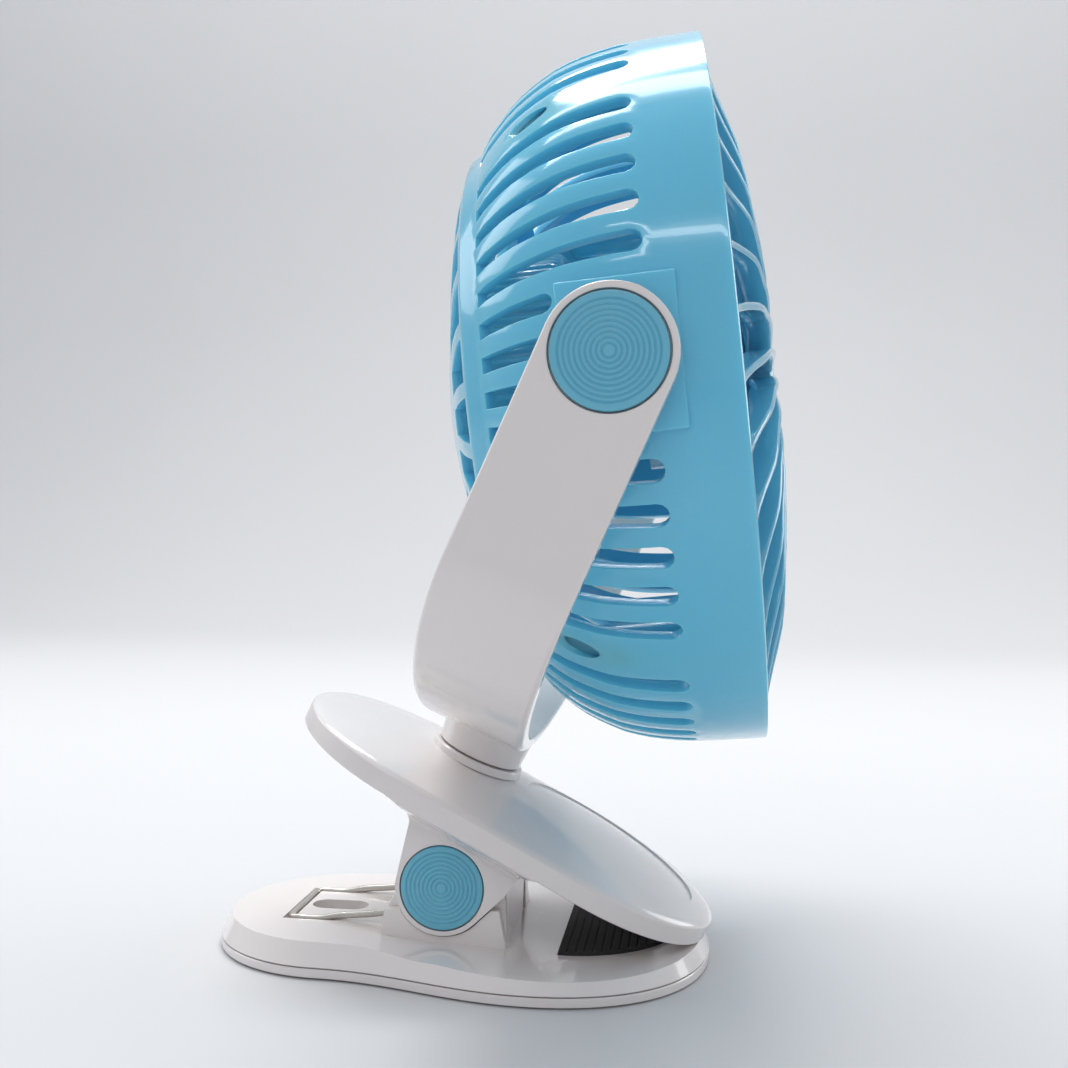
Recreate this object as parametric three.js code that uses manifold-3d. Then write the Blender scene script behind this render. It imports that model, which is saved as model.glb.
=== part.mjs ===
// Clip fan: a slotted bowl head on a U yoke, which swivels on the upper jaw of a spring clip.
// Millimetres. +X is the way the air blows, +Y goes from the near side to the far side, +Z is up.
// The origin is on the underside of the base, below the axle of the clip.
import * as THREE from "three";
import { mergeVertices } from "three/addons/utils/BufferGeometryUtils.js";
import Module from "manifold-3d";

// ---------------------------------------------------------------- driving dimensions

const CLEARANCE = 0.3; // between two pieces that seat on each other
const RUNNING = 0.4; // around what turns or slides

// clip axle
const AXLE_HEIGHT = 20.3;
const AXLE_RADIUS = 2.2;

// base, the lower jaw
const BASE_REAR_X = -29; // centre of the round rear
const BASE_REAR_RADIUS = 34;
const BASE_HALF_WIDTH = 43.8;
const BASE_WIDEST_X = 24;
const BASE_FRONT_X = 66;
const BASE_NOSE_HANDLE = 0.62; // fullness of the front curve
const BASE_DECK = 6.6; // height of the wall round the deck
const BASE_DRAFT = 2.6; // how far the wall leans in on its way up
const PLATEAU_HEIGHT = 8;
const DISH_HEIGHT = 5.5; // lowest point of the hollowed front deck
const DISH_X = 34;
const DISH_RADIUS = 450;
const COVER_THICKNESS = 2.2;
const FOOT_RADIUS = 5;
const FOOT_PROUD = 0.4;
const FOOT_SEAT = 0.8;
const HANG_SLOT_X = -32.2;
const HANG_SLOT_LENGTH = 15.2;
const HANG_SLOT_WIDTH = 8;

// pivot block and cheeks on the base
const BLOCK_HALF = 19.3;
const LUG_INNER = 14;
const LUG_RADIUS = 11;
const BLOCK_REAR_X = -15.4;
const BLOCK_FRONT_X = 16.2;
const BLOCK_WALL = 3;
const BLOCK_WALL_TOP = 18.7;
const CHEEK_HALF = 22;
const CHEEK_TOP = 14.6;

// upper jaw
const JAW_HEIGHT = 45; // where the rim plane crosses the line above the axle
const JAW_TILT = 27.3;
const JAW_HALF_WIDTH = 33.5;
const JAW_REAR_U = -10; // centres of the two round ends, along the jaw
const JAW_FRONT_U = 42;
const JAW_RIM = 5.6; // height of the side wall
const JAW_CROWN = 6;
const JAW_WALL = 2.4;
const JAW_TIP_GAP = 6.8; // height of the flat ground under the tip
const PANEL_DEPTH = 0.5;
const EAR_OUTER = 23;
const EAR_RADIUS = 11.8;
const EAR_FLARE = 6;
const PIVOT_CAP_RADIUS = 10.4;
const PIVOT_CAP_THICKNESS = 1.7;
const PIVOT_CAP_PROUD = 0.2;
const PAD_THICKNESS = 1.4;
const PAD_HALF_WIDTH = 23;

// spring
const WIRE_RADIUS = 0.9;
const COIL_RADIUS = 5.3;
const COIL_PITCH = 2.4;
const COIL_TURNS = 4;
const SPRING_HALF = 12.5;
const SPRING_BAR_X = -42.3;
const SPRING_BAR_HEIGHT = 7.8;
const SPRING_RISER = 15;
const GROOVE_FLOOR = 6.6;

// yoke
const TILT_AXIS_X = 45.1;
const TILT_AXIS_HEIGHT = 142.7;
const YOKE_TILT = 23.5;
const YOKE_HALF = 95;
const YOKE_ARM = 4.5;
const YOKE_BOTTOM = 91.8; // from the tilt axis to the underside
const YOKE_FLOOR = 3.8;
const YOKE_CORNER = 29;
const YOKE_WIDTH = 26.6;
const COLLAR_END = 100.2;
const COLLAR_TOP_RADIUS = 12;
const COLLAR_END_RADIUS = 11.4;
const SEAT_RADIUS = 12.6; // raised seat of the swivel on the jaw
const SWIVEL_RADIUS = 3;
const TILT_CAP_RADIUS = 11.4;
const TILT_CAP_THICKNESS = 2;
const TILT_CAP_PROUD = 0.4;
const BOLT_RADIUS = 3;

// head, drawn from the rim plane back: s along the axis, r across it
const HEAD_TILT = 6.363;
const HEAD_BACK = 24.5; // from the rim plane to the tilt axis
const RIM_RADIUS = 88;
const SHELL_WALL = 2.6;
const BOWL_DEPTH = 72;
const SLOT_COUNT = 60;
const SLOT_FRONT = 16.5;
const SLOT_FRONT_AT_PIVOT = 35.5;
const SLOT_REAR = 53.4;
const SLOT_FRONT_WIDTH = 5;
const SLOT_REAR_WIDTH = 3.4;
const REAR_VENT_COUNT = 30;
const REAR_VENT_INNER = 43.5;
const REAR_VENT_OUTER = 63.6;
const REAR_RIB = 3.4;
const WELL_ANGLE = 45;
const WELL_RADIUS = 2.75;
const WELL_FROM_AXIS = 81;
const WELL_FLOOR = 22;
const PILLAR_TOP = 12;
const SEAT_PANEL_HALF = 15.3; // flat panel under each arm
const SEAT_PANEL_FRONT = 11;
const SEAT_PANEL_BACK = 36;
const SEAT_PANEL_PROUD = 1.2; // how far the panel may stand out of the bowl
const BUTTON_FROM_AXIS = 33;
const BUTTON_RADIUS = 4.1;
const BUTTON_TRAVEL = 0.8;
const INLET_FROM_AXIS = -28;

// grille
const FIN_COUNT = 36;
const FIN_WALL = 1.7;
const FIN_TWIST = 16; // degrees that a fin sweeps from the ring to the hub
const GRILLE_RING_INNER = 81;
const GRILLE_RING_DEPTH = 4;
const GRILLE_HUB_RADIUS = 17;
const GRILLE_HUB_DEPTH = 3;

// drive
const POD_RADIUS = 40.8;
const POD_WALL = 2;
const POD_FRONT = 38.2;
const MOTOR_RADIUS = 13.2;
const MOTOR_FRONT = 16.5;
const SHAFT_RADIUS = 1;
const BLADE_COUNT = 4;
const BLADE_RADIUS = 74;
const BLADE_FRONT = 3;
const HUB_RADIUS = 17.5;
const HUB_BACK = 22;
const BATTERY_RADIUS = 9.2;
const BATTERY_LENGTH = 65;
const BOARD_FRONT = 59.3;
const BOARD_THICKNESS = 1.5;

// facets
const HEAD_FACETS = 60;
const ROUND_FACETS = 24;
const MIDDLE_FACETS = 16;
const SMALL_FACETS = 12;
const SCREW_FACETS = 8;

// ---------------------------------------------------------------- materials

const finish = (color, roughness, metalness = 0) =>
  new THREE.MeshStandardMaterial({ color, roughness, metalness });
const blue = finish(0x7cc4de, 0.3);
const blueTranslucent = finish(0x8fd2ea, 0.25);
const white = finish(0xe9e5e3, 0.22);
const black = finish(0x101011, 0.7);
const steel = finish(0xb9b6ad, 0.3, 1);
const brass = finish(0xb59a58, 0.35, 1);
const board = finish(0x1d5a3a, 0.6);
const foil = finish(0x9aa3b0, 0.4, 1);

// ---------------------------------------------------------------- solids

const wasm = await Module();
wasm.setup();
const turn = THREE.MathUtils.degToRad;

// A closed geometry as a solid whose faces point outwards.
function solid(geometry) {
  const bare = geometry.clone();
  bare.deleteAttribute("normal");
  bare.deleteAttribute("uv");
  const merged = mergeVertices(bare, 1e-4);
  const position = merged.attributes.position;
  const corner = [0, 1, 2].map(() => new THREE.Vector3());
  const faces = [];
  let volume = 0;
  for (let i = 0; i < merged.index.count; i += 3) {
    const face = [0, 1, 2].map((k) => merged.index.getX(i + k));
    if (new Set(face).size < 3) continue;
    face.forEach((vertex, k) => corner[k].fromBufferAttribute(position, vertex));
    volume += corner[0].dot(corner[1].clone().cross(corner[2]));
    faces.push(face);
  }
  const triVerts = new Uint32Array(faces.flatMap((face) => (volume < 0 ? face.toReversed() : face)));
  return new wasm.Manifold(new wasm.Mesh({ numProp: 3, vertProperties: position.array, triVerts }));
}

const join = (...solids) => solids.reduce((whole, piece) => whole.add(piece));
const cut = (body, ...tools) => tools.reduce((rest, tool) => rest.subtract(tool), body);

// A named mesh of one finished solid.
function mesh(name, body, material) {
  const { vertProperties, triVerts } = body.getMesh();
  const geometry = new THREE.BufferGeometry();
  geometry.setAttribute("position", new THREE.BufferAttribute(vertProperties, 3));
  geometry.setIndex(new THREE.BufferAttribute(triVerts, 1));
  geometry.computeVertexNormals();
  const piece = new THREE.Mesh(geometry, material);
  piece.name = name;
  return piece;
}

// A group whose +Z leans forwards by an angle about Y.
function leaningGroup(x, y, z, degrees) {
  const group = new THREE.Group();
  group.position.set(x, y, z);
  group.rotation.y = turn(degrees);
  group.updateMatrixWorld(true);
  return group;
}

// Geometry given in the row frame, brought into a group's own frame.
const inFrameOf = (group, geometry) => geometry.applyMatrix4(group.matrixWorld.clone().invert());

// A flat outline in X and Z, from y0 to y1.
function slabY(shape, y0, y1) {
  const geometry = new THREE.ExtrudeGeometry(shape, { depth: y1 - y0, bevelEnabled: false, curveSegments: 6 });
  return geometry.rotateX(Math.PI / 2).translate(0, y1, 0);
}

// A flat outline in X and Y, from z0 to z1.
function slabZ(shape, z0, z1) {
  const geometry = new THREE.ExtrudeGeometry(shape, { depth: z1 - z0, bevelEnabled: false, curveSegments: 5 });
  return geometry.translate(0, 0, z0);
}

// A flat outline in Y and Z, from x0 to x1.
function slabX(shape, x0, x1) {
  const geometry = new THREE.ExtrudeGeometry(shape, { depth: x1 - x0, bevelEnabled: false, curveSegments: 5 });
  return geometry.rotateX(Math.PI / 2).rotateZ(Math.PI / 2).translate(x0, 0, 0);
}

function box(x0, x1, y0, y1, z0, z1) {
  const geometry = new THREE.BoxGeometry(x1 - x0, y1 - y0, z1 - z0);
  return geometry.translate((x0 + x1) / 2, (y0 + y1) / 2, (z0 + z1) / 2);
}

// Round bars along each axis; the radius may differ at the two ends.
function rodY(radius, y0, y1, x, z, facets = SMALL_FACETS) {
  return new THREE.CylinderGeometry(radius, radius, y1 - y0, facets).translate(x, (y0 + y1) / 2, z);
}

function rodZ(radius, z0, z1, x, y, facets = SMALL_FACETS, topRadius = radius) {
  const geometry = new THREE.CylinderGeometry(topRadius, radius, z1 - z0, facets);
  return geometry.rotateX(Math.PI / 2).translate(x, y, (z0 + z1) / 2);
}

// In the head's frame, s runs back from the rim plane.
function rodS(radius, s0, s1, y, z, facets = SMALL_FACETS) {
  const geometry = new THREE.CylinderGeometry(radius, radius, s1 - s0, facets);
  return geometry.rotateZ(Math.PI / 2).translate(-(s0 + s1) / 2, y, z);
}

// A profile of [s, r] turned about the head's axis.
function turned(profile, facets = HEAD_FACETS) {
  const points = profile.map(([s, r]) => new THREE.Vector2(r, s));
  return new THREE.LatheGeometry(points, facets).rotateZ(Math.PI / 2);
}

// Rings of as many points each, joined in order and closed with the caps' triangles.
function loft(rings, caps) {
  const count = rings[0].length;
  const positions = rings.flat().flatMap((point) => point.toArray());
  const index = [];
  for (let level = 0; level + 1 < rings.length; level++) {
    for (let i = 0; i < count; i++) {
      const next = (i + 1) % count;
      const [a, b, c, d] = [level * count + i, level * count + next, (level + 1) * count + next, (level + 1) * count + i];
      index.push(a, b, c, a, c, d);
    }
  }
  const last = (rings.length - 1) * count;
  for (const [a, b, c] of caps) index.push(c, b, a, last + a, last + b, last + c);
  const geometry = new THREE.BufferGeometry();
  geometry.setAttribute("position", new THREE.Float32BufferAttribute(positions, 3));
  geometry.setIndex(index);
  return geometry;
}

// Level outlines of one flat shape, stacked: each level is [height, outline points].
function stack(levels) {
  const caps = THREE.ShapeUtils.triangulateShape(levels[0][1], []);
  return loft(levels.map(([z, outline]) => outline.map((p) => new THREE.Vector3(p.x, p.y, z))), caps);
}

// The points of a closed outline, without the last one where it repeats the first.
function outlinePoints(shape, divisions) {
  const points = shape.getPoints(divisions);
  if (points[0].distanceTo(points.at(-1)) < 1e-4) points.pop();
  return points;
}

// ---------------------------------------------------------------- base

function baseOutline(inset) {
  const rear = BASE_REAR_RADIUS - inset;
  const half = BASE_HALF_WIDTH - inset;
  const nose = BASE_FRONT_X - inset;
  const handleX = BASE_WIDEST_X + BASE_NOSE_HANDLE * (nose - BASE_WIDEST_X);
  const waist = BASE_WIDEST_X - 20; // handles of the S that widens the base
  const shoulder = BASE_REAR_X + 20;
  const shape = new THREE.Shape();
  shape.moveTo(BASE_REAR_X, -rear);
  shape.bezierCurveTo(shoulder, -rear, waist, -half, BASE_WIDEST_X, -half);
  shape.bezierCurveTo(handleX, -half, nose, -half * BASE_NOSE_HANDLE, nose, 0);
  shape.bezierCurveTo(nose, half * BASE_NOSE_HANDLE, handleX, half, BASE_WIDEST_X, half);
  shape.bezierCurveTo(waist, half, shoulder, rear, BASE_REAR_X, rear);
  shape.absarc(BASE_REAR_X, 0, rear, Math.PI / 2, 1.5 * Math.PI, false);
  return outlinePoints(shape, 6);
}

const footPlaces = [
  [-50, -14],
  [-50, 14],
  [44, -22],
  [44, 22],
];
const baseScrewPlaces = [
  [-22, -24],
  [-22, 24],
  [57, 0],
];
const BASE_SCREW_RADIUS = 1.2;
const BASE_SCREW_HEAD = 2.8;
const BASE_SCREW_TOP = 4.6;
const BASE_SCREW_SINK = 1.4;

function hangSlot(margin, z0, z1) {
  const radius = HANG_SLOT_WIDTH / 2 + margin;
  const reach = HANG_SLOT_LENGTH / 2 - HANG_SLOT_WIDTH / 2;
  const shape = new THREE.Shape();
  shape.absarc(HANG_SLOT_X + reach, 0, radius, -Math.PI / 2, Math.PI / 2, false);
  shape.absarc(HANG_SLOT_X - reach, 0, radius, Math.PI / 2, 1.5 * Math.PI, false);
  return slabZ(shape, z0, z1);
}

function baseCover() {
  let plate = solid(stack([[0, baseOutline(0.3)], [0.3, baseOutline(0)], [COVER_THICKNESS, baseOutline(0)]]));
  plate = cut(plate, solid(hangSlot(CLEARANCE, -1, COVER_THICKNESS + 1)));
  for (const [x, y] of footPlaces)
    plate = cut(plate, solid(rodZ(FOOT_RADIUS + CLEARANCE, -1, FOOT_SEAT, x, y)));
  for (const [x, y] of baseScrewPlaces) {
    plate = cut(plate, solid(rodZ(BASE_SCREW_HEAD + CLEARANCE, -1, BASE_SCREW_SINK, x, y)));
    plate = cut(plate, solid(rodZ(BASE_SCREW_RADIUS + CLEARANCE, 0, COVER_THICKNESS + 1, x, y, SCREW_FACETS)));
  }
  return plate;
}

function baseFoot([x, y]) {
  return solid(rodZ(FOOT_RADIUS, -FOOT_PROUD, FOOT_SEAT - CLEARANCE, x, y));
}

function baseScrew([x, y]) {
  const head = rodZ(BASE_SCREW_HEAD, 0.2, BASE_SCREW_SINK - CLEARANCE, x, y);
  return join(solid(head), solid(rodZ(BASE_SCREW_RADIUS, 0.5, BASE_SCREW_TOP, x, y, SCREW_FACETS)));
}

const dishHeight = (x) => DISH_HEIGHT + (x - DISH_X) ** 2 / (2 * DISH_RADIUS);

// What is hollowed off the front deck, down to a depth below the dish.
function dish(fromX, depth) {
  const shape = new THREE.Shape();
  const reach = BASE_FRONT_X + 4;
  shape.moveTo(fromX, BASE_DECK + 6);
  for (let step = 0; step <= 8; step++) {
    const x = fromX + ((reach - fromX) * step) / 8;
    shape.lineTo(x, dishHeight(x) - depth);
  }
  shape.lineTo(reach, BASE_DECK + 6);
  return slabY(shape, -BASE_HALF_WIDTH - 2, BASE_HALF_WIDTH + 2);
}

// The ear of the jaw, seen from the side; grow makes the clearance round it in the cheeks.
function earOutline(grow) {
  const radius = EAR_RADIUS + grow;
  const shape = new THREE.Shape();
  const rim = (x) => JAW_HEIGHT - JAW_RIM / Math.cos(turn(JAW_TILT)) - Math.tan(turn(JAW_TILT)) * x;
  shape.moveTo(-12, rim(-12) + 2);
  shape.lineTo(-12, rim(-12));
  shape.quadraticCurveTo(-8 - grow, rim(-8), -8.4 - grow, 36.5);
  shape.absarc(0, AXLE_HEIGHT, radius, turn(174), turn(313), false);
  shape.lineTo(15.5, 18.7 - grow);
  shape.lineTo(18.6, 22.8 - grow);
  shape.quadraticCurveTo(21, rim(21) - 1.2, 25, rim(25));
  shape.lineTo(25, rim(25) + 2);
  return shape;
}

// The spring's trench: under the cross bar and under the start of both legs.
function springGroove() {
  const wide = WIRE_RADIUS + 0.5;
  const top = PLATEAU_HEIGHT + 2;
  const bar = box(SPRING_BAR_X - wide, SPRING_BAR_X + wide, -SPRING_HALF - wide, SPRING_HALF + wide, GROOVE_FLOOR, top);
  const legs = [-1, 1].map((side) =>
    box(SPRING_BAR_X, SPRING_BAR_X + 13, side * SPRING_HALF - wide, side * SPRING_HALF + wide, GROOVE_FLOOR, top),
  );
  return join(solid(bar), ...legs.map(solid));
}

// Two lugs round the axle, the wall between them, and the cheeks that the ears turn in.
function pivotBlock() {
  const foot = DISH_HEIGHT - 1;
  const lug = new THREE.Shape();
  lug.moveTo(BLOCK_REAR_X, foot);
  lug.lineTo(BLOCK_FRONT_X, foot);
  lug.lineTo(BLOCK_FRONT_X - 0.6, BLOCK_WALL_TOP);
  lug.absarc(0, AXLE_HEIGHT, LUG_RADIUS, 0, Math.PI, false);
  lug.lineTo(BLOCK_REAR_X + 1, CHEEK_TOP);
  const wall = box(BLOCK_FRONT_X - 0.6 - BLOCK_WALL, BLOCK_FRONT_X - 0.6, -LUG_INNER - 1, LUG_INNER + 1, foot, BLOCK_WALL_TOP);
  const cheek = new THREE.Shape();
  cheek.moveTo(BLOCK_REAR_X - 0.4, foot);
  cheek.lineTo(BLOCK_FRONT_X + 0.4, foot);
  cheek.lineTo(BLOCK_FRONT_X - 1.8, CHEEK_TOP + 0.5);
  cheek.lineTo(BLOCK_REAR_X + 0.6, CHEEK_TOP - 0.4);
  const saddle = solid(slabY(earOutline(CLEARANCE + 0.2), -YOKE_HALF, YOKE_HALF));
  const parts = [solid(wall)];
  for (const side of [-1, 1]) {
    const [low, high] = [side * LUG_INNER, side * BLOCK_HALF].sort((a, b) => a - b);
    const [near, far] = [side * (BLOCK_HALF - 0.5), side * CHEEK_HALF].sort((a, b) => a - b);
    const raw = cut(solid(slabY(cheek, near, far)), saddle);
    parts.push(solid(slabY(lug, low, high)), raw);
  }
  return join(...parts);
}

function baseShell() {
  const floor = COVER_THICKNESS + CLEARANCE;
  const deck = solid(stack([
    [floor, baseOutline(0)],
    [BASE_DECK - 0.8, baseOutline(BASE_DRAFT - 0.6)],
    [BASE_DECK, baseOutline(BASE_DRAFT + 0.6)],
  ]));
  const plateau = solid(stack([
    [floor, baseOutline(0)],
    [PLATEAU_HEIGHT - 0.9, baseOutline(BASE_DRAFT - 0.3)],
    [PLATEAU_HEIGHT, baseOutline(BASE_DRAFT + 0.9)],
  ]));
  const rear = cut(plateau, solid(box(BLOCK_REAR_X - 0.4, 99, -99, 99, -9, 99)));
  let shell = join(cut(deck, solid(dish(BLOCK_REAR_X - 0.4, 0))), rear);
  shell = join(shell, pivotBlock());
  const pad = cut(solid(stack([[0, padOutline(CLEARANCE)], [20, padOutline(CLEARANCE)]])), solid(box(-99, 99, -99, 99, -9, 5)));
  const padSeat = cut(pad, cut(solid(box(0, 99, -99, 99, 0, 30)), solid(dish(0, PAD_SINK))));
  shell = cut(shell, springGroove(), solid(hangSlot(0, 0, 20)), padSeat);
  shell = cut(shell, solid(rodY(AXLE_RADIUS + CLEARANCE, -50, 50, 0, AXLE_HEIGHT)));
  for (const [x, y] of baseScrewPlaces)
    shell = cut(shell, solid(rodZ(BASE_SCREW_RADIUS + CLEARANCE, 0, BASE_SCREW_TOP + CLEARANCE, x, y, SCREW_FACETS)));
  return shell;
}

// The grip pads, seen from above: straight at the back, drawn in towards the tip.
const PAD_SINK = 0.5;
const PAD_REAR_X = 29.3;
const PAD_FRONT_X = 57.5;

function padOutline(grow) {
  const half = PAD_HALF_WIDTH + grow;
  const shape = new THREE.Shape();
  shape.moveTo(PAD_REAR_X - grow, -half);
  shape.bezierCurveTo(46, -half, PAD_FRONT_X + grow, -12, PAD_FRONT_X + grow, 0);
  shape.bezierCurveTo(PAD_FRONT_X + grow, 12, 46, half, PAD_REAR_X - grow, half);
  return outlinePoints(shape, 8);
}

function basePad() {
  const column = solid(stack([[0, padOutline(0)], [20, padOutline(0)]]));
  const lifted = PAD_SINK - CLEARANCE;
  const slabTop = solid(dish(0, -PAD_THICKNESS + lifted + 0.1));
  const under = cut(solid(box(0, 99, -99, 99, 0, 30)), solid(dish(0, lifted)));
  return cut(column, slabTop, under);
}

// ---------------------------------------------------------------- spring

// Along the wire: a free end, a coil, a leg, the cross bar, and the same again mirrored.
function springPath() {
  const half = [];
  const coilStart = -Math.PI / 2;
  const coilEnd = coilStart + 2 * Math.PI * COIL_TURNS + turn(120);
  const steps = Math.round(((coilEnd - coilStart) / (2 * Math.PI)) * 8);
  const corner = 2.5;
  half.push([SPRING_BAR_X, SPRING_HALF - corner, SPRING_BAR_HEIGHT]);
  half.push([SPRING_BAR_X + 0.7, SPRING_HALF - 0.7, SPRING_BAR_HEIGHT]);
  half.push([SPRING_BAR_X + corner, SPRING_HALF, SPRING_BAR_HEIGHT + 0.3]);
  half.push([-4, SPRING_HALF, AXLE_HEIGHT - COIL_RADIUS - 0.55]);
  for (let step = 0; step <= steps; step++) {
    const angle = coilStart + ((coilEnd - coilStart) * step) / steps;
    const inward = (COIL_PITCH * (angle - coilStart)) / (2 * Math.PI);
    half.push([COIL_RADIUS * Math.cos(angle), SPRING_HALF - inward, AXLE_HEIGHT + COIL_RADIUS * Math.sin(angle)]);
  }
  const [x, y, z] = half.at(-1);
  const away = [-Math.sin(coilEnd), Math.cos(coilEnd)];
  half.push([x + away[0] * 3, y, z + away[1] * 3]);
  half.push([x + away[0] * SPRING_RISER, y, z + away[1] * SPRING_RISER]);
  const mirrored = half.toReversed().map(([px, py, pz]) => [px, -py, pz]);
  return [...mirrored, ...half].map((point) => new THREE.Vector3(...point));
}

// The least distance between stretches of the wire that are not neighbours, less its thickness.
function leastGap(path) {
  let least = Infinity;
  for (let i = 0; i < path.length; i++)
    for (let j = i + 6; j < path.length; j++) least = Math.min(least, path[i].distanceTo(path[j]));
  return least - 2 * WIRE_RADIUS;
}

function torsionSpring() {
  const path = springPath();
  console.log(`spring: least gap to itself ${leastGap(path).toFixed(2)} mm`);
  const sides = 5;
  let across = new THREE.Vector3(0, 0, 1);
  const rings = path.map((point, i) => {
    const before = path[Math.max(i - 1, 0)];
    const after = path[Math.min(i + 1, path.length - 1)];
    const along = after.clone().sub(before).normalize();
    across = across.clone().addScaledVector(along, -across.dot(along)).normalize();
    const third = along.clone().cross(across);
    return Array.from({ length: sides }, (_, k) => {
      const angle = (2 * Math.PI * k) / sides;
      return point.clone().addScaledVector(across, WIRE_RADIUS * Math.cos(angle)).addScaledVector(third, WIRE_RADIUS * Math.sin(angle));
    });
  });
  const caps = Array.from({ length: sides - 2 }, (_, k) => [0, k + 1, k + 2]);
  return solid(loft(rings, caps));
}

// ---------------------------------------------------------------- upper jaw

const jawGroup = leaningGroup(0, 0, JAW_HEIGHT, JAW_TILT);
const JAW_MIDDLE_U = (JAW_REAR_U + JAW_FRONT_U) / 2;
const JAW_HALF_LENGTH = (JAW_FRONT_U - JAW_REAR_U) / 2 + JAW_HALF_WIDTH;

function stadium(halfWidth, rearU = JAW_REAR_U, frontU = JAW_FRONT_U) {
  const shape = new THREE.Shape();
  shape.absarc(frontU, 0, halfWidth, -Math.PI / 2, Math.PI / 2, false);
  shape.absarc(rearU, 0, halfWidth, Math.PI / 2, 1.5 * Math.PI, false);
  return outlinePoints(shape, 7);
}

// A side wall with a domed top over it: drop lowers the dome, inset draws the wall in.
function jawForm(inset, drop, bottom) {
  const rim = stadium(JAW_HALF_WIDTH - inset);
  const shrunk = (share) => rim.map((p) => new THREE.Vector2(JAW_MIDDLE_U + (p.x - JAW_MIDDLE_U) * share, p.y * share));
  const levels = [[bottom, rim], [-0.7 - drop, rim]];
  for (const share of [0.985, 0.8, 0.5, 0.15]) {
    levels.push([JAW_CROWN * (1 - share * share) - drop, shrunk(share)]);
  }
  return solid(stack(levels));
}

// In the jaw's frame: the swivel's seat on top and the boss under it.
function swivelColumn(radius, from, to, facets = ROUND_FACETS) {
  const geometry = rodZ(radius, -to, -from, 0, 0, facets);
  return solid(inFrameOf(jawGroup, geometry.applyMatrix4(yokeGroup.matrixWorld)));
}

const SEAT_PLANE = COLLAR_END + CLEARANCE;
const BOSS_END = SEAT_PLANE + 5;

function earBlock() {
  const side = inFrameOf(jawGroup, slabY(earOutline(0), -JAW_HALF_WIDTH, JAW_HALF_WIDTH));
  const profile = new THREE.Shape();
  const inner = BLOCK_HALF + CLEARANCE;
  const foot = -JAW_RIM - EAR_FLARE;
  profile.moveTo(inner, -50);
  profile.lineTo(EAR_OUTER, -50);
  profile.lineTo(EAR_OUTER, foot);
  profile.bezierCurveTo(EAR_OUTER + 0.6, foot + 3, JAW_HALF_WIDTH - 1.5, -JAW_RIM - 2, JAW_HALF_WIDTH - 0.1, -JAW_RIM);
  profile.lineTo(JAW_HALF_WIDTH - 0.1, -JAW_RIM + 1.5);
  profile.lineTo(inner, -JAW_RIM + 1.5);
  const flare = slabX(profile, -60, 90);
  const far = solid(flare);
  const near = solid(flare.clone().scale(1, -1, 1));
  const ears = solid(side);
  return join(ears.intersect(far), ears.intersect(near));
}

function jawShell() {
  const outer = jawForm(0, 0, -JAW_RIM);
  const hollow = jawForm(JAW_WALL, JAW_WALL, -JAW_RIM - 3);
  let shell = cut(outer, hollow);
  shell = join(shell, swivelColumn(SEAT_RADIUS, SEAT_PLANE, BOSS_END - 3), swivelColumn(9, SEAT_PLANE + 1, BOSS_END, MIDDLE_FACETS));
  const panel = solid(stack([[-2, panelOutline(0)], [30, panelOutline(0)]]));
  shell = cut(shell, cut(panel, jawForm(0, PANEL_DEPTH, -JAW_RIM - 1)));
  shell = join(shell, earBlock());
  shell = cut(shell, swivelColumn(SWIVEL_RADIUS + CLEARANCE, SEAT_PLANE - 1, BOSS_END + 1, SMALL_FACETS));
  const tools = [rodY(AXLE_RADIUS + CLEARANCE, -50, 50, 0, AXLE_HEIGHT)];
  for (const side of [-1, 1]) {
    const [low, high] = [side * PIVOT_CAP_SEAT, side * 30].sort((a, b) => a - b);
    tools.push(rodY(PIVOT_CAP_RADIUS + CLEARANCE, low, high, 0, AXLE_HEIGHT, ROUND_FACETS));
  }
  tools.push(box(30, 99, -60, 60, -9, JAW_TIP_GAP));
  return cut(shell, ...tools.map((tool) => solid(inFrameOf(jawGroup, tool))));
}

// The shallow oval panel on the front half of the dome.
function panelOutline(inset) {
  const shape = new THREE.Shape();
  shape.absellipse(43, 0, 26 - inset, 24 - inset, 0, 2 * Math.PI, false, 0);
  return outlinePoints(shape, 10);
}

const PIVOT_CAP_SEAT = EAR_OUTER + PIVOT_CAP_PROUD - PIVOT_CAP_THICKNESS - CLEARANCE;

function pivotCap(side) {
  const outer = side * (EAR_OUTER + PIVOT_CAP_PROUD);
  const inner = side * (EAR_OUTER + PIVOT_CAP_PROUD - PIVOT_CAP_THICKNESS);
  const geometry = rodY(PIVOT_CAP_RADIUS, Math.min(outer, inner), Math.max(outer, inner), 0, AXLE_HEIGHT, ROUND_FACETS);
  return solid(inFrameOf(jawGroup, geometry));
}

// The plate that closes the jaw from below, with a notch for each ear.
function jawCover() {
  const top = -JAW_RIM + 1.7;
  const rim = stadium(JAW_HALF_WIDTH - JAW_WALL - CLEARANCE);
  let plate = solid(stack([[-JAW_RIM + 0.1, rim], [top, rim]]));
  for (const side of [-1, 1]) {
    const [low, high] = [side * BLOCK_HALF, side * 40].sort((a, b) => a - b);
    plate = cut(plate, solid(box(-16, 37, low, high, -9, 9)));
  }
  const tools = [box(30, 99, -60, 60, -9, JAW_TIP_GAP)];
  tools.push(box(-16, 4, -4.5, 4.5, 25, 60));
  return cut(plate, ...tools.map((tool) => solid(inFrameOf(jawGroup, tool))));
}

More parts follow.
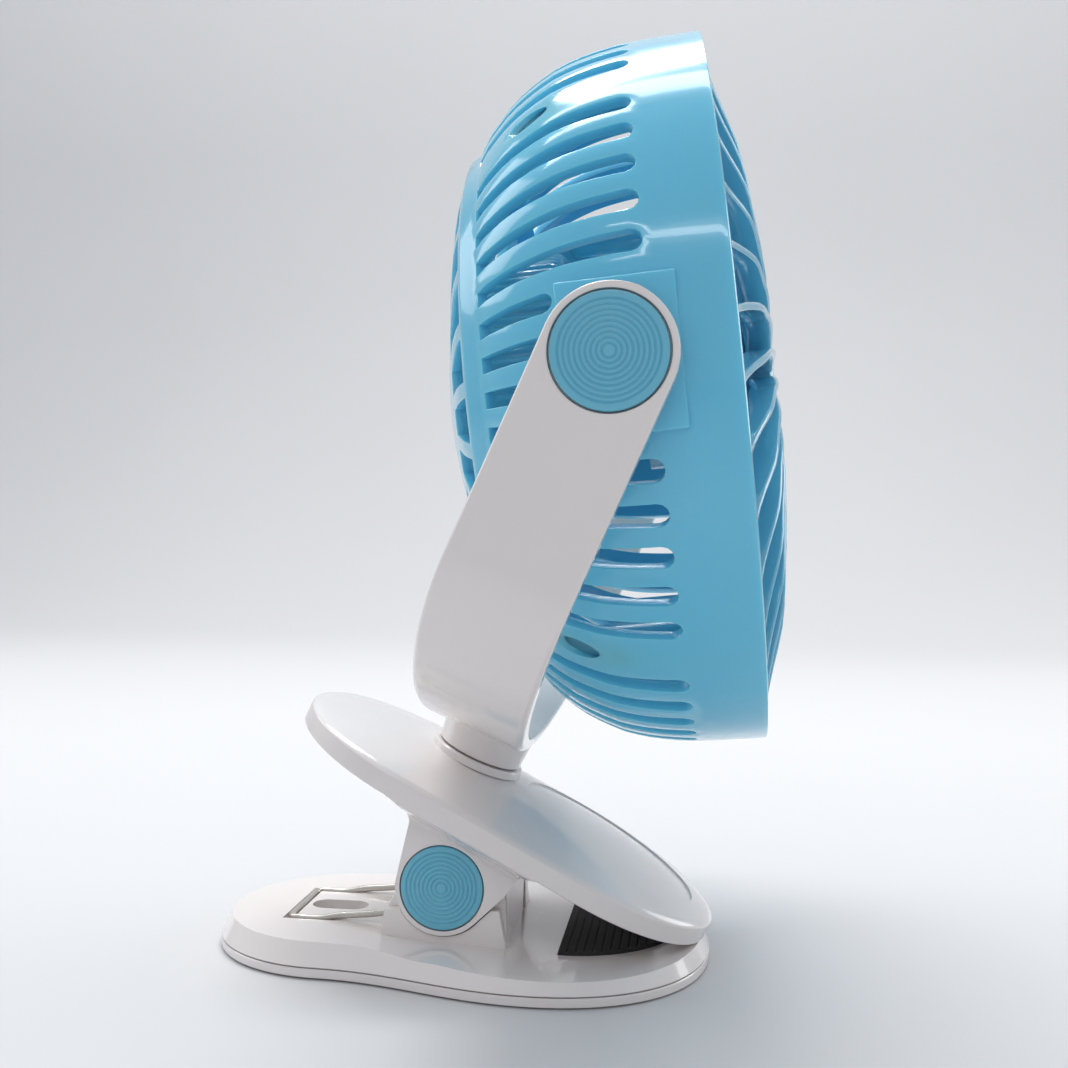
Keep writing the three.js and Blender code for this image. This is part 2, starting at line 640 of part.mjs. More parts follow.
function jawPad() {
  const half = PAD_HALF_WIDTH - 1;
  const shape = new THREE.Shape();
  shape.moveTo(38, -half);
  shape.bezierCurveTo(52, -half, 60, -12, 60, 0);
  shape.bezierCurveTo(60, 12, 52, half, 38, half);
  const outline = outlinePoints(shape, 8);
  const top = -JAW_RIM + 0.1 - CLEARANCE;
  return solid(stack([[top - PAD_THICKNESS, outline], [top, outline]]));
}

// ---------------------------------------------------------------- yoke

const yokeGroup = leaningGroup(TILT_AXIS_X, 0, TILT_AXIS_HEIGHT, YOKE_TILT);

function yokeProfile(half, bottom, corner) {
  const shape = new THREE.Shape();
  shape.moveTo(half, YOKE_WIDTH);
  shape.lineTo(half, -bottom + corner);
  shape.absarc(half - corner, -bottom + corner, corner, 0, -Math.PI / 2, true);
  shape.absarc(-half + corner, -bottom + corner, corner, -Math.PI / 2, -Math.PI, true);
  shape.lineTo(-half, YOKE_WIDTH);
  return shape;
}

function yoke() {
  const half = YOKE_WIDTH / 2;
  const outer = solid(slabX(yokeProfile(YOKE_HALF, YOKE_BOTTOM, YOKE_CORNER), -half, half));
  const inner = solid(
    slabX(yokeProfile(YOKE_HALF - YOKE_ARM, YOKE_BOTTOM - YOKE_FLOOR, YOKE_CORNER - YOKE_ARM), -half - 1, half + 1),
  );
  const side = new THREE.Shape();
  const corner = 5;
  side.moveTo(-half + corner, -YOKE_BOTTOM);
  side.lineTo(half - corner, -YOKE_BOTTOM);
  side.quadraticCurveTo(half, -YOKE_BOTTOM, half, -YOKE_BOTTOM + corner);
  side.absarc(0, 0, half, 0, Math.PI, false);
  side.lineTo(-half, -YOKE_BOTTOM + corner);
  side.quadraticCurveTo(-half, -YOKE_BOTTOM, -half + corner, -YOKE_BOTTOM);
  const plan = solid(slabY(side, -YOKE_HALF - 1, YOKE_HALF + 1));
  let frame = cut(outer, inner).intersect(plan);
  frame = join(frame, solid(rodZ(COLLAR_END_RADIUS, -COLLAR_END, -YOKE_BOTTOM + 1, 0, 0, ROUND_FACETS, COLLAR_TOP_RADIUS)));
  const tools = [
    rodZ(SWIVEL_RADIUS + CLEARANCE, -COLLAR_END - 1, -YOKE_BOTTOM + YOKE_FLOOR + 1, 0, 0),
    rodZ(SWIVEL_HEAD + CLEARANCE, -SWIVEL_HEAD_SEAT, 0, 0, 0, MIDDLE_FACETS),
  ];
  for (const side of [-1, 1]) {
    tools.push(rodAcross(side, TILT_CAP_RADIUS + CLEARANCE, CAP_SEAT, YOKE_HALF + 1, ROUND_FACETS));
    tools.push(rodAcross(side, BOLT_HEAD_RADIUS + CLEARANCE, BOLT_HEAD_SEAT, YOKE_HALF + 1, MIDDLE_FACETS));
    tools.push(rodAcross(side, BOLT_RADIUS + CLEARANCE, YOKE_HALF - YOKE_ARM - 1, YOKE_HALF, SMALL_FACETS));
  }
  return cut(frame, ...tools.map(solid));
}

// A round bar along Y on the tilt axis, from one distance out to another, on one side.
function rodAcross(side, radius, from, to, facets = SMALL_FACETS, x = 0, z = 0) {
  return rodY(radius, Math.min(side * from, side * to), Math.max(side * from, side * to), x, z, facets);
}

const CAP_SEAT = YOKE_HALF + TILT_CAP_PROUD - TILT_CAP_THICKNESS - CLEARANCE;
const BOLT_HEAD_RADIUS = 6;
const BOLT_HEAD_SEAT = YOKE_HALF - YOKE_ARM + 1.2;
const BOLT_END = 76.4;
const SWIVEL_HEAD = 6.5;
const SWIVEL_HEAD_SEAT = YOKE_BOTTOM - YOKE_FLOOR + 2;

function tiltCap(side) {
  return solid(rodAcross(side, TILT_CAP_RADIUS, YOKE_HALF + TILT_CAP_PROUD - TILT_CAP_THICKNESS, YOKE_HALF + TILT_CAP_PROUD, ROUND_FACETS));
}

function tiltBolt(side) {
  const head = rodAcross(side, BOLT_HEAD_RADIUS, BOLT_HEAD_SEAT + CLEARANCE, CAP_SEAT, MIDDLE_FACETS);
  return join(solid(head), solid(rodAcross(side, BOLT_RADIUS, BOLT_END, CAP_SEAT - 0.2)));
}

function swivelBolt() {
  const headBottom = -SWIVEL_HEAD_SEAT + CLEARANCE;
  const head = rodZ(SWIVEL_HEAD, headBottom, headBottom + 1.6, 0, 0, MIDDLE_FACETS);
  return join(solid(head), solid(rodZ(SWIVEL_RADIUS, -NUT_END - 0.6, headBottom + 1, 0, 0)));
}

const WASHER_TOP = BOSS_END + CLEARANCE;
const NUT_TOP = WASHER_TOP + 1 + CLEARANCE;
const NUT_END = NUT_TOP + 2.6;

function swivelWasher() {
  return cut(solid(rodZ(7.5, -WASHER_TOP - 1, -WASHER_TOP, 0, 0, MIDDLE_FACETS)), solid(rodZ(SWIVEL_RADIUS + CLEARANCE, -NUT_END, 0, 0, 0)));
}

function swivelNut() {
  return cut(solid(rodZ(5.2, -NUT_END, -NUT_TOP, 0, 0, 6)), solid(rodZ(SWIVEL_RADIUS + CLEARANCE, -NUT_END - 9, 0, 0, 0)));
}

// ---------------------------------------------------------------- head

const headGroup = leaningGroup(
  TILT_AXIS_X + HEAD_BACK * Math.cos(turn(HEAD_TILT)),
  0,
  TILT_AXIS_HEIGHT + HEAD_BACK * Math.sin(turn(HEAD_TILT)),
  -HEAD_TILT,
);

// Outside of the bowl from the rim to the middle of the back, as [s, r].
const bowlOutside = [
  [0, RIM_RADIUS],
  [16, RIM_RADIUS - 0.3],
  [28, RIM_RADIUS - 2],
  [39, RIM_RADIUS - 6.3],
  [48, RIM_RADIUS - 12.9],
  [54, RIM_RADIUS - 20.4],
  [57, RIM_RADIUS - 22],
  [61, 56],
  [66, 36],
  [BOWL_DEPTH, 0],
];
const bowlStations = bowlOutside.filter((_, i) => ![2, 4, 5, 7].includes(i));

// The outline moved inwards by a wall, each point along the mean of its neighbours' normals.
function offsetProfile(profile, wall) {
  return profile.map(([s, r], i) => {
    const [s0, r0] = profile[Math.max(i - 1, 0)];
    const [s1, r1] = profile[Math.min(i + 1, profile.length - 1)];
    const length = Math.hypot(s1 - s0, r1 - r0);
    const inward = [(r1 - r0) / length, -(s1 - s0) / length];
    if (r === 0) return [s - wall, 0];
    if (i === 0) return [s, r - wall];
    return [s + inward[0] * wall, r + inward[1] * wall];
  });
}

const bowlInside = offsetProfile(bowlStations, SHELL_WALL);

// Radius or depth of a profile at the other measure, by straight lines between its points.
function along(profile, key, value, wanted) {
  for (let i = 0; i + 1 < profile.length; i++) {
    const [a, b] = [profile[i], profile[i + 1]];
    const share = (value - a[key]) / (b[key] - a[key]);
    if (share >= 0 && share <= 1) return a[wanted] + share * (b[wanted] - a[wanted]);
  }
  throw new Error("outside the profile");
}
const insideDepth = (r) => along(bowlInside, 1, r, 0);
const outsideDepth = (r) => along(bowlOutside, 1, r, 0);

// A slot seen from outside, cut towards the axis: rounded in front, narrower at the back.
function bowlSlot(front, degrees) {
  const frontHalf = SLOT_FRONT_WIDTH / 2 - ((front - SLOT_FRONT) / (SLOT_REAR - SLOT_FRONT)) * ((SLOT_FRONT_WIDTH - SLOT_REAR_WIDTH) / 2);
  const rearHalf = SLOT_REAR_WIDTH / 2;
  const shape = new THREE.Shape();
  shape.moveTo(-SLOT_REAR, -rearHalf);
  for (let step = 0; step <= 3; step++) {
    const angle = -Math.PI / 2 + (Math.PI * step) / 3;
    shape.lineTo(-front - frontHalf + frontHalf * Math.cos(angle), frontHalf * Math.sin(angle));
  }
  shape.lineTo(-SLOT_REAR, rearHalf);
  return solid(slabZ(shape, 56, RIM_RADIUS + 5).rotateX(turn(degrees)));
}

// A radial opening between two ribs of the rear dome.
function rearVent(degrees) {
  const share = Math.sin(Math.PI / REAR_VENT_COUNT);
  const outer = REAR_VENT_OUTER * share - REAR_RIB / 2;
  const inner = REAR_VENT_INNER * share - REAR_RIB / 2;
  const shape = new THREE.Shape();
  shape.moveTo(-inner, REAR_VENT_INNER);
  shape.lineTo(inner, REAR_VENT_INNER);
  shape.lineTo(outer, REAR_VENT_OUTER);
  shape.lineTo(-outer, REAR_VENT_OUTER);
  return solid(slabX(shape, -BOWL_DEPTH, -52).rotateX(turn(degrees)));
}

// Angles run from the near side over the top; a cutter is drawn at the top and turned to its place.
const fromTop = (degrees) => degrees - 90;
const wellAngles = [0, 1, 2, 3].map((k) => WELL_ANGLE + 90 * k);

function aroundAxis(degrees, radius) {
  const angle = turn(degrees);
  return [-radius * Math.cos(angle), radius * Math.sin(angle)];
}

function slotTools() {
  const tools = [];
  const pitch = 360 / SLOT_COUNT;
  for (let k = 0; k < SLOT_COUNT; k++) {
    const degrees = pitch / 2 + pitch * k;
    if (wellAngles.some((well) => Math.abs(well - degrees) < pitch / 2)) continue;
    const toPivot = Math.min(degrees % 180, 180 - (degrees % 180));
    const front = toPivot < 2 * pitch ? SLOT_FRONT_AT_PIVOT : SLOT_FRONT;
    tools.push(bowlSlot(front, fromTop(degrees)));
  }
  for (let k = 0; k < REAR_VENT_COUNT; k++) {
    const step = 360 / REAR_VENT_COUNT;
    tools.push(rearVent(step * (k + 0.5)));
  }
  return tools;
}

function rearShell() {
  let shell = solid(turned([...bowlOutside, ...bowlInside.toReversed(), bowlOutside[0]]));
  const outside = solid(turned([[0, 0], ...bowlOutside]));
  const padded = bowlOutside.map(([depth, r]) => [depth, Math.max(0, r + SEAT_PANEL_PROUD)]);
  const aroundOutside = solid(turned([[0, 0], ...padded, [padded.at(-1)[0], 0]]));
  const added = [];
  for (const degrees of wellAngles) {
    const [y, z] = aroundAxis(degrees, WELL_FROM_AXIS);
    added.push(solid(rodS(WELL_RADIUS + 1.5, PILLAR_TOP, 60, y, z)).intersect(outside));
  }
  for (const side of [-1, 1]) {
    const [low, high] = [side * (RIM_RADIUS - 4.5), side * RIM_RADIUS].sort((a, b) => a - b);
    const panel = box(
      -SEAT_PANEL_BACK, -SEAT_PANEL_FRONT, low, high, -SEAT_PANEL_HALF, SEAT_PANEL_HALF);
    added.push(solid(panel).intersect(aroundOutside));
    added.push(solid(rodAcross(side, 7.5, BOSS_INNER, RIM_RADIUS - 2, MIDDLE_FACETS, -HEAD_BACK)));
  }
  shell = join(shell, ...added);
  const tools = slotTools();
  for (const degrees of wellAngles) {
    const [y, z] = aroundAxis(degrees, WELL_FROM_AXIS);
    tools.push(solid(rodS(WELL_RADIUS, WELL_FLOOR, 60, y, z)));
    tools.push(solid(rodS(SHELL_SCREW_RADIUS + CLEARANCE, PILLAR_TOP - 1, WELL_FLOOR + 1, y, z, SCREW_FACETS)));
  }
  tools.push(solid(rodY(BOLT_RADIUS + CLEARANCE, -99, 99, -HEAD_BACK, 0)));
  tools.push(solid(rodS(BUTTON_RADIUS + CLEARANCE, 50, 80, 0, BUTTON_FROM_AXIS, MIDDLE_FACETS)));
  tools.push(solid(box(-80, -50, -INLET_HALF_WIDTH, INLET_HALF_WIDTH, INLET_FROM_AXIS - INLET_HALF_HEIGHT, INLET_FROM_AXIS + INLET_HALF_HEIGHT)));
  return cut(shell, ...tools);
}

const BOSS_INNER = 81;
const SHELL_SCREW_RADIUS = 1.2;
const SHELL_SCREW_END = 5;
const INLET_HALF_WIDTH = 4.3;
const INLET_HALF_HEIGHT = 1.9;

function shellScrew(degrees) {
  const [y, z] = aroundAxis(degrees, WELL_FROM_AXIS);
  const head = rodS(WELL_RADIUS - CLEARANCE, WELL_FLOOR + CLEARANCE, WELL_FLOOR + 2.3, y, z);
  return join(solid(head), solid(rodS(SHELL_SCREW_RADIUS, SHELL_SCREW_END, WELL_FLOOR + 1, y, z, SCREW_FACETS)));
}

function tiltWasher(side) {
  const ring = rodAcross(side, 9, RIM_RADIUS + CLEARANCE, YOKE_HALF - YOKE_ARM - CLEARANCE, MIDDLE_FACETS, -HEAD_BACK);
  return cut(solid(ring), solid(rodY(BOLT_RADIUS + CLEARANCE, -99, 99, -HEAD_BACK, 0)));
}

function tiltNut(side) {
  const nut = rodAcross(side, 5.4, BOLT_END + 0.8, BOSS_INNER - CLEARANCE, 6, -HEAD_BACK);
  return cut(solid(nut), solid(rodY(BOLT_RADIUS + CLEARANCE, -99, 99, -HEAD_BACK, 0)));
}

function powerButton() {
  const face = outsideDepth(BUTTON_FROM_AXIS) + 1.3;
  const flange = insideDepth(BUTTON_FROM_AXIS + 5.2) - 0.2;
  const cap = rodS(BUTTON_RADIUS, flange - 0.6, face, 0, BUTTON_FROM_AXIS, MIDDLE_FACETS);
  const collar = rodS(BUTTON_RADIUS + 1.1, flange - 0.8, flange, 0, BUTTON_FROM_AXIS, MIDDLE_FACETS);
  return join(solid(cap), solid(collar));
}

// ---------------------------------------------------------------- grille

// How far the front of the grille stands before the rim plane, at a distance from the axis.
const grilleFront = [
  [0, 10.5],
  [36, 10.3],
  [49, 8.8],
  [62, 6.9],
  [72, 3.4],
  [GRILLE_RING_INNER, 0.4],
];

function grilleHeight(r) {
  return along(grilleFront, 0, r, 1);
}

// One fin, from the hub ring out to the rim ring, deep along the axis and swept as it goes in.
function fin(index) {
  const stations = [GRILLE_HUB_RADIUS - 1, 42, 66, GRILLE_RING_INNER + 1];
  const reach = GRILLE_RING_INNER + 1 - GRILLE_HUB_RADIUS;
  const rings = stations.map((r) => {
    const sweep = (FIN_TWIST * (GRILLE_RING_INNER + 1 - r)) / reach;
    const angle = (360 / FIN_COUNT) * (index + 0.5) + sweep;
    const front = grilleHeight(Math.min(r, GRILLE_RING_INNER));
    const back = Math.max(front - 6, -GRILLE_RING_DEPTH + 0.5);
    const thin = (FIN_WALL / 2) * (180 / Math.PI / r);
    const point = (x, degrees) => new THREE.Vector3(x, ...aroundAxis(degrees, r));
    return [point(front, angle - thin), point(front, angle + thin), point(back, angle + thin), point(back, angle - thin)];
  });
  return solid(loft(rings, [[0, 1, 2], [0, 2, 3]]));
}

function frontGrille() {
  const outer = RIM_RADIUS - SHELL_WALL - CLEARANCE - 0.15;
  const [front, back] = [-0.4, GRILLE_RING_DEPTH];
  const rim = turned([[front, GRILLE_RING_INNER], [front, outer], [back, outer], [back, GRILLE_RING_INNER], [front, GRILLE_RING_INNER]], FIN_COUNT);
  const hubFront = -grilleHeight(0);
  const hub = turned([[hubFront, 0], [hubFront, GRILLE_HUB_RADIUS - 1.2], [hubFront + 1.2, GRILLE_HUB_RADIUS], [hubFront + 6, GRILLE_HUB_RADIUS], [hubFront + 6, GRILLE_HUB_RADIUS - 2], [hubFront + GRILLE_HUB_DEPTH, GRILLE_HUB_RADIUS - 2], [hubFront + GRILLE_HUB_DEPTH, 0]], FIN_COUNT);
  const pieces = [solid(rim), solid(hub)];
  for (const degrees of wellAngles) {
    const [y, z] = aroundAxis(degrees, WELL_FROM_AXIS);
    const pillar = solid(rodS(WELL_RADIUS + 0.7, 1, PILLAR_TOP - CLEARANCE, y, z)).intersect(solid(rodS(outer, 0, 20, 0, 0, FIN_COUNT)));
    pieces.push(pillar);
  }
  for (let k = 0; k < FIN_COUNT; k++) pieces.push(fin(k));
  const whole = join(...pieces);
  const capSeat = solid(rodS(GRILLE_CAP_RADIUS + CLEARANCE, hubFront - 1, hubFront + GRILLE_CAP_THICKNESS, 0, 0, FIN_COUNT));
  const holes = wellAngles.map((degrees) => {
    const [y, z] = aroundAxis(degrees, WELL_FROM_AXIS);
    return solid(rodS(SHELL_SCREW_RADIUS + CLEARANCE, SHELL_SCREW_END - CLEARANCE, 20, y, z, SCREW_FACETS));
  });
  return cut(whole, capSeat, ...holes);
}

const GRILLE_CAP_RADIUS = 13.5;
const GRILLE_CAP_THICKNESS = 1.4;

function grilleCap() {
  const front = -grilleHeight(0);
  const back = front + GRILLE_CAP_THICKNESS - CLEARANCE;
  return solid(turned([[front - 0.9, 0], [front - 0.5, 8], [front + 0.1, GRILLE_CAP_RADIUS], [back, GRILLE_CAP_RADIUS], [back, 0]], FIN_COUNT));
}

// ---------------------------------------------------------------- drive

// A blade section: a thin bent plate at a distance from the axis.
function bladeRing(r) {
  const share = (r - HUB_RADIUS) / (BLADE_RADIUS - HUB_RADIUS);
  const halfAngle = 24 + 8 * Math.sin(Math.PI * share);
  const sweep = 10 * share;
  const depth = 15 - 4 * share;
  const middle = BLADE_FRONT + 7.5;
  const front = [];
  const back = [];
  for (let step = 0; step <= 4; step++) {
    const across = step / 2 - 1;
    const degrees = sweep + halfAngle * across;
    const bow = 1.5 * (1 - across * across);
    const s = middle - (depth / 2) * across + bow;
    const [y, z] = aroundAxis(degrees, r);
    front.push(new THREE.Vector3(-(s - 0.8), y, z));
    back.push(new THREE.Vector3(-(s + 0.8), y, z));
  }
  return [...front, ...back.toReversed()];
}

function fanBlades() {
  const radii = [HUB_RADIUS - 1, 34, 54, BLADE_RADIUS - 3, BLADE_RADIUS];
  const rings = radii.map(bladeRing);
  const caps = THREE.ShapeUtils.triangulateShape(rings[0].map((_, i) => new THREE.Vector2(i < 5 ? i : 9 - i, i < 5 ? 0 : 1)), []);
  const blade = loft(rings, caps);
  const hub = turned([
    [BLADE_FRONT - 1, 0],
    [BLADE_FRONT - 1, HUB_RADIUS - 3],
    [BLADE_FRONT + 1, HUB_RADIUS],
    [HUB_BACK, HUB_RADIUS],
    [HUB_BACK, HUB_RADIUS - 1.8],
    [BLADE_FRONT + 1.5, HUB_RADIUS - 1.8],
    [BLADE_FRONT + 1.5, 3.2],
    [MOTOR_FRONT - 3.2, 3.2],
    [MOTOR_FRONT - 3.2, SHAFT_RADIUS + CLEARANCE],
    [BLADE_FRONT + 1.2, SHAFT_RADIUS + CLEARANCE],
    [BLADE_FRONT + 1.2, 0],
  ], MIDDLE_FACETS);
  const blades = [];
  for (let k = 0; k < BLADE_COUNT; k++) blades.push(solid(blade.clone().rotateX(turn((360 / BLADE_COUNT) * k + 20))));
  return join(solid(hub), ...blades);
}

function motorShaft() {
  return solid(rodS(SHAFT_RADIUS, BLADE_FRONT + 1.5, POD_FRONT - 2.4, 0, 0, SCREW_FACETS));
}

const BELL_FRONT = 35.4;
const BUSH_RADIUS = 2.6;

function motorCan() {
  const can = turned([
    [MOTOR_FRONT - 2, 0],
    [MOTOR_FRONT - 2, 4],
    [MOTOR_FRONT, 4],
    [MOTOR_FRONT, MOTOR_RADIUS - 1],
    [MOTOR_FRONT + 1, MOTOR_RADIUS],
    [BELL_FRONT - CLEARANCE, MOTOR_RADIUS],
    [BELL_FRONT - CLEARANCE, 0],
  ], MIDDLE_FACETS);
  const bore = rodS(SHAFT_RADIUS + RUNNING, 0, 50, 0, 0, SCREW_FACETS);
  return cut(solid(can), solid(bore), solid(rodS(BUSH_RADIUS + CLEARANCE, 0, MOTOR_FRONT + 2, 0, 0)));
}

function motorBush() {
  const ring = rodS(BUSH_RADIUS, MOTOR_FRONT - 2, MOTOR_FRONT + 2 - CLEARANCE, 0, 0);
  return cut(solid(ring), solid(rodS(SHAFT_RADIUS + CLEARANCE, 0, 50, 0, 0, SCREW_FACETS)));
}

function motorEndBell() {
  const disc = rodS(MOTOR_RADIUS - 0.6, BELL_FRONT, POD_FRONT - CLEARANCE, 0, 0, MIDDLE_FACETS);
  return cut(solid(disc), solid(rodS(SHAFT_RADIUS + RUNNING, 0, POD_FRONT - 2, 0, 0, SCREW_FACETS)));
}

// The drum behind the motor that holds the cell and the board, open to the rear dome.
function podHousing() {
  const mouth = insideDepth(POD_RADIUS) - CLEARANCE;
  const shell = turned([
    [POD_FRONT, 0],
    [POD_FRONT, POD_RADIUS - 2.5],
    [POD_FRONT + 3, POD_RADIUS],
    [mouth, POD_RADIUS],
    [mouth, POD_RADIUS - POD_WALL],
    [POD_FRONT + 4, POD_RADIUS - POD_WALL],
    [POD_FRONT + POD_WALL, POD_RADIUS - POD_WALL - 1.5],
    [POD_FRONT + POD_WALL, 0],
  ], ROUND_FACETS);
  const collar = cut(
    solid(rodS(MOTOR_RADIUS + CLEARANCE + 1.8, BELL_FRONT - 6, POD_FRONT + 0.5, 0, 0, MIDDLE_FACETS)),
    solid(rodS(MOTOR_RADIUS + CLEARANCE, 0, POD_FRONT, 0, 0, MIDDLE_FACETS)),
  );
  return join(solid(shell), collar);
}

function batteryCell() {
  const s = POD_FRONT + POD_WALL + CLEARANCE + BATTERY_RADIUS;
  const half = BATTERY_LENGTH / 2;
  const body = rodY(BATTERY_RADIUS, -half, half, -s, BATTERY_FROM_AXIS, MIDDLE_FACETS);
  const tip = rodY(2.8, half - 1, half + 1, -s, BATTERY_FROM_AXIS, SCREW_FACETS);
  return join(solid(body), solid(tip));
}

const BATTERY_FROM_AXIS = -4.5;

function circuitBoard() {
  const back = BOARD_FRONT + BOARD_THICKNESS;
  const disc = rodS(POD_RADIUS - POD_WALL - CLEARANCE - 0.6, BOARD_FRONT, back, 0, 0, ROUND_FACETS);
  const buttonBack = insideDepth(BUTTON_FROM_AXIS + 5.2) - 1;
  const toggle = rodS(2, back - 0.2, buttonBack - BUTTON_TRAVEL - CLEARANCE, 0, BUTTON_FROM_AXIS - 1, SCREW_FACETS);
  const chip = box(-back - 1.2, -back + 0.2, -4, 4, 2, 9);
  return join(solid(disc), solid(toggle), solid(chip));
}

function chargeSocket() {
  const front = BOARD_FRONT + BOARD_THICKNESS + CLEARANCE;
  const back = outsideDepth(-INLET_FROM_AXIS) - 0.9;
  const shell = box(-back, -front, -3.75, 3.75, INLET_FROM_AXIS - 1.35, INLET_FROM_AXIS + 1.35);
  const mouth = box(-back - 1, -back + 2.6, -3.3, 3.3, INLET_FROM_AXIS - 0.9, INLET_FROM_AXIS + 0.9);
  return cut(solid(shell), solid(mouth));
}

// ---------------------------------------------------------------- assembly

const root = new THREE.Group();
root.add(jawGroup, yokeGroup, headGroup);

function clipAxle() {
  return solid(rodY(AXLE_RADIUS, -PIVOT_CAP_SEAT + 0.1, PIVOT_CAP_SEAT - 0.1, 0, AXLE_HEIGHT));
}

root.add(mesh("base_cover", baseCover(), white));
root.add(mesh("base_shell", baseShell(), white));
root.add(mesh("base_pad", basePad(), black));
footPlaces.forEach((place, i) => root.add(mesh(`foot_${i + 1}`, baseFoot(place), black)));
baseScrewPlaces.forEach((place, i) => root.add(mesh(`base_screw_${i + 1}`, baseScrew(place), steel)));
root.add(mesh("clip_axle", clipAxle(), steel));
root.add(mesh("torsion_spring", torsionSpring(), steel));

const SIDES = [
  [-1, "near"],
  [1, "far"],
];
jawGroup.add(mesh("jaw_shell", jawShell(), white));
jawGroup.add(mesh("jaw_cover", jawCover(), white));
jawGroup.add(mesh("jaw_pad", jawPad(), black));
for (const [side, name] of SIDES) jawGroup.add(mesh(`pivot_cap_${name}`, pivotCap(side), blue));

yokeGroup.add(mesh("yoke", yoke(), white));
yokeGroup.add(mesh("swivel_bolt", swivelBolt(), steel));
yokeGroup.add(mesh("swivel_washer", swivelWasher(), steel));
yokeGroup.add(mesh("swivel_nut", swivelNut(), steel));
for (const [side, name] of SIDES) {
  yokeGroup.add(mesh(`tilt_cap_${name}`, tiltCap(side), blue));
  yokeGroup.add(mesh(`tilt_bolt_${name}`, tiltBolt(side), steel));
}

headGroup.add(mesh("rear_shell", rearShell(), blue));
headGroup.add(mesh("front_grille", frontGrille(), blueTranslucent));
headGroup.add(mesh("grille_cap", grilleCap(), white));
wellAngles.forEach((degrees, i) => headGroup.add(mesh(`shell_screw_${i + 1}`, shellScrew(degrees), steel)));
for (const [side, name] of SIDES) {
  headGroup.add(mesh(`tilt_washer_${name}`, tiltWasher(side), black));
  headGroup.add(mesh(`tilt_nut_${name}`, tiltNut(side), brass));
}
headGroup.add(mesh("pod_housing", podHousing(), blue));
headGroup.add(mesh("motor_can", motorCan(), steel));
headGroup.add(mesh("motor_end_bell", motorEndBell(), black));
headGroup.add(mesh("motor_bush", motorBush(), brass));
headGroup.add(mesh("battery_cell", batteryCell(), foil));
headGroup.add(mesh("circuit_board", circuitBoard(), board));
headGroup.add(mesh("charge_socket", chargeSocket(), steel));
headGroup.add(mesh("power_button", powerButton(), blue));
headGroup.add(mesh("fan_blades", fanBlades(), blueTranslucent));
headGroup.add(mesh("motor_shaft", motorShaft(), steel));

export default root;
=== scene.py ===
"""A clip fan: slotted round head, U yoke and spring clip, dressed as moulded plastic.

Lengths inside the sub-assemblies are in millimetres, in the frame of each sub-assembly.
Every finished piece is in metres, in the row frame, with its object at the origin.
"""

import logging
import math
from dataclasses import dataclass, field
from enum import Enum
from typing import Iterable, Sequence, Union

import bmesh
import bpy
from mathutils import Matrix, Vector


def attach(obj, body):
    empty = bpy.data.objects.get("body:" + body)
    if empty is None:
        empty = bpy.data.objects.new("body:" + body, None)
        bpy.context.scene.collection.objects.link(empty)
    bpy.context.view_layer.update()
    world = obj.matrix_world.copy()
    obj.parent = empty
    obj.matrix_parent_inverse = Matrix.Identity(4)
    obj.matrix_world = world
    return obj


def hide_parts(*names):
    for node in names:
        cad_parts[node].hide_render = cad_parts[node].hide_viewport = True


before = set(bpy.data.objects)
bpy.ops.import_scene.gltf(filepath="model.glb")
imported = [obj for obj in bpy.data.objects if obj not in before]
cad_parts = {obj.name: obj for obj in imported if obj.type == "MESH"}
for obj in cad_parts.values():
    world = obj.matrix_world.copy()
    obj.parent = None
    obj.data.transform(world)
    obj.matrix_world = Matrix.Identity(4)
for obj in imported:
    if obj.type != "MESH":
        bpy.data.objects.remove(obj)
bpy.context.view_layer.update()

log = logging.getLogger("clip_fan")

MM = 0.001
Point2 = tuple[float, float]
Profile = Sequence[Point2]


# ---------------------------------------------------------------- frames of the sub-assemblies


def leaning(x: float, y: float, z: float, degrees: float) -> Matrix:
    """A frame at a point whose +Z leans towards +X.

    Args:
        x, y, z: the place of its origin, in millimetres.
        degrees: how far it leans.

    Returns:
        The matrix from that frame to the row frame.
    """
    return Matrix.Translation((x, y, z)) @ Matrix.Rotation(math.radians(degrees), 4, "Y")


SIDES = ((-1, "near"), (1, "far"))
AXLE_HEIGHT = 20.3
AXLE_POINT = (0, 0, AXLE_HEIGHT)
JAW_HEIGHT = 45.0
JAW_LEAN = 27.3
JAW_RIM = 5.6
YOKE_LEAN = 23.5
TILT_AXIS = (45.1, 0.0, 142.7)
HEAD_TILT = 6.363
HEAD_BACK = 24.5
PIVOT_BORE = 3.3
WELL_ANGLES = (45, 135, 225, 315)
MIRROR_Y = Matrix.Diagonal((1, -1, 1, 1))
ROW_FRAME = Matrix.Identity(4)
JAW_FRAME = leaning(0, 0, JAW_HEIGHT, JAW_LEAN)
YOKE_FRAME = leaning(*TILT_AXIS, YOKE_LEAN)
HEAD_FRAME = leaning(
    TILT_AXIS[0] + HEAD_BACK * math.cos(math.radians(HEAD_TILT)),
    0,
    TILT_AXIS[2] + HEAD_BACK * math.sin(math.radians(HEAD_TILT)),
    -HEAD_TILT,
)


# ---------------------------------------------------------------- outlines


def arc(cx: float, cy: float, radius: float, start: float, end: float, steps: int) -> list[Point2]:
    """Points along an arc.

    Args:
        cx, cy: its centre.
        radius: its radius.
        start, end: its limits in degrees.
        steps: how many stretches it is cut into.

    Returns:
        steps + 1 points.
    """
    turns = [math.radians(start + (end - start) * k / steps) for k in range(steps + 1)]
    return [(cx + radius * math.cos(a), cy + radius * math.sin(a)) for a in turns]


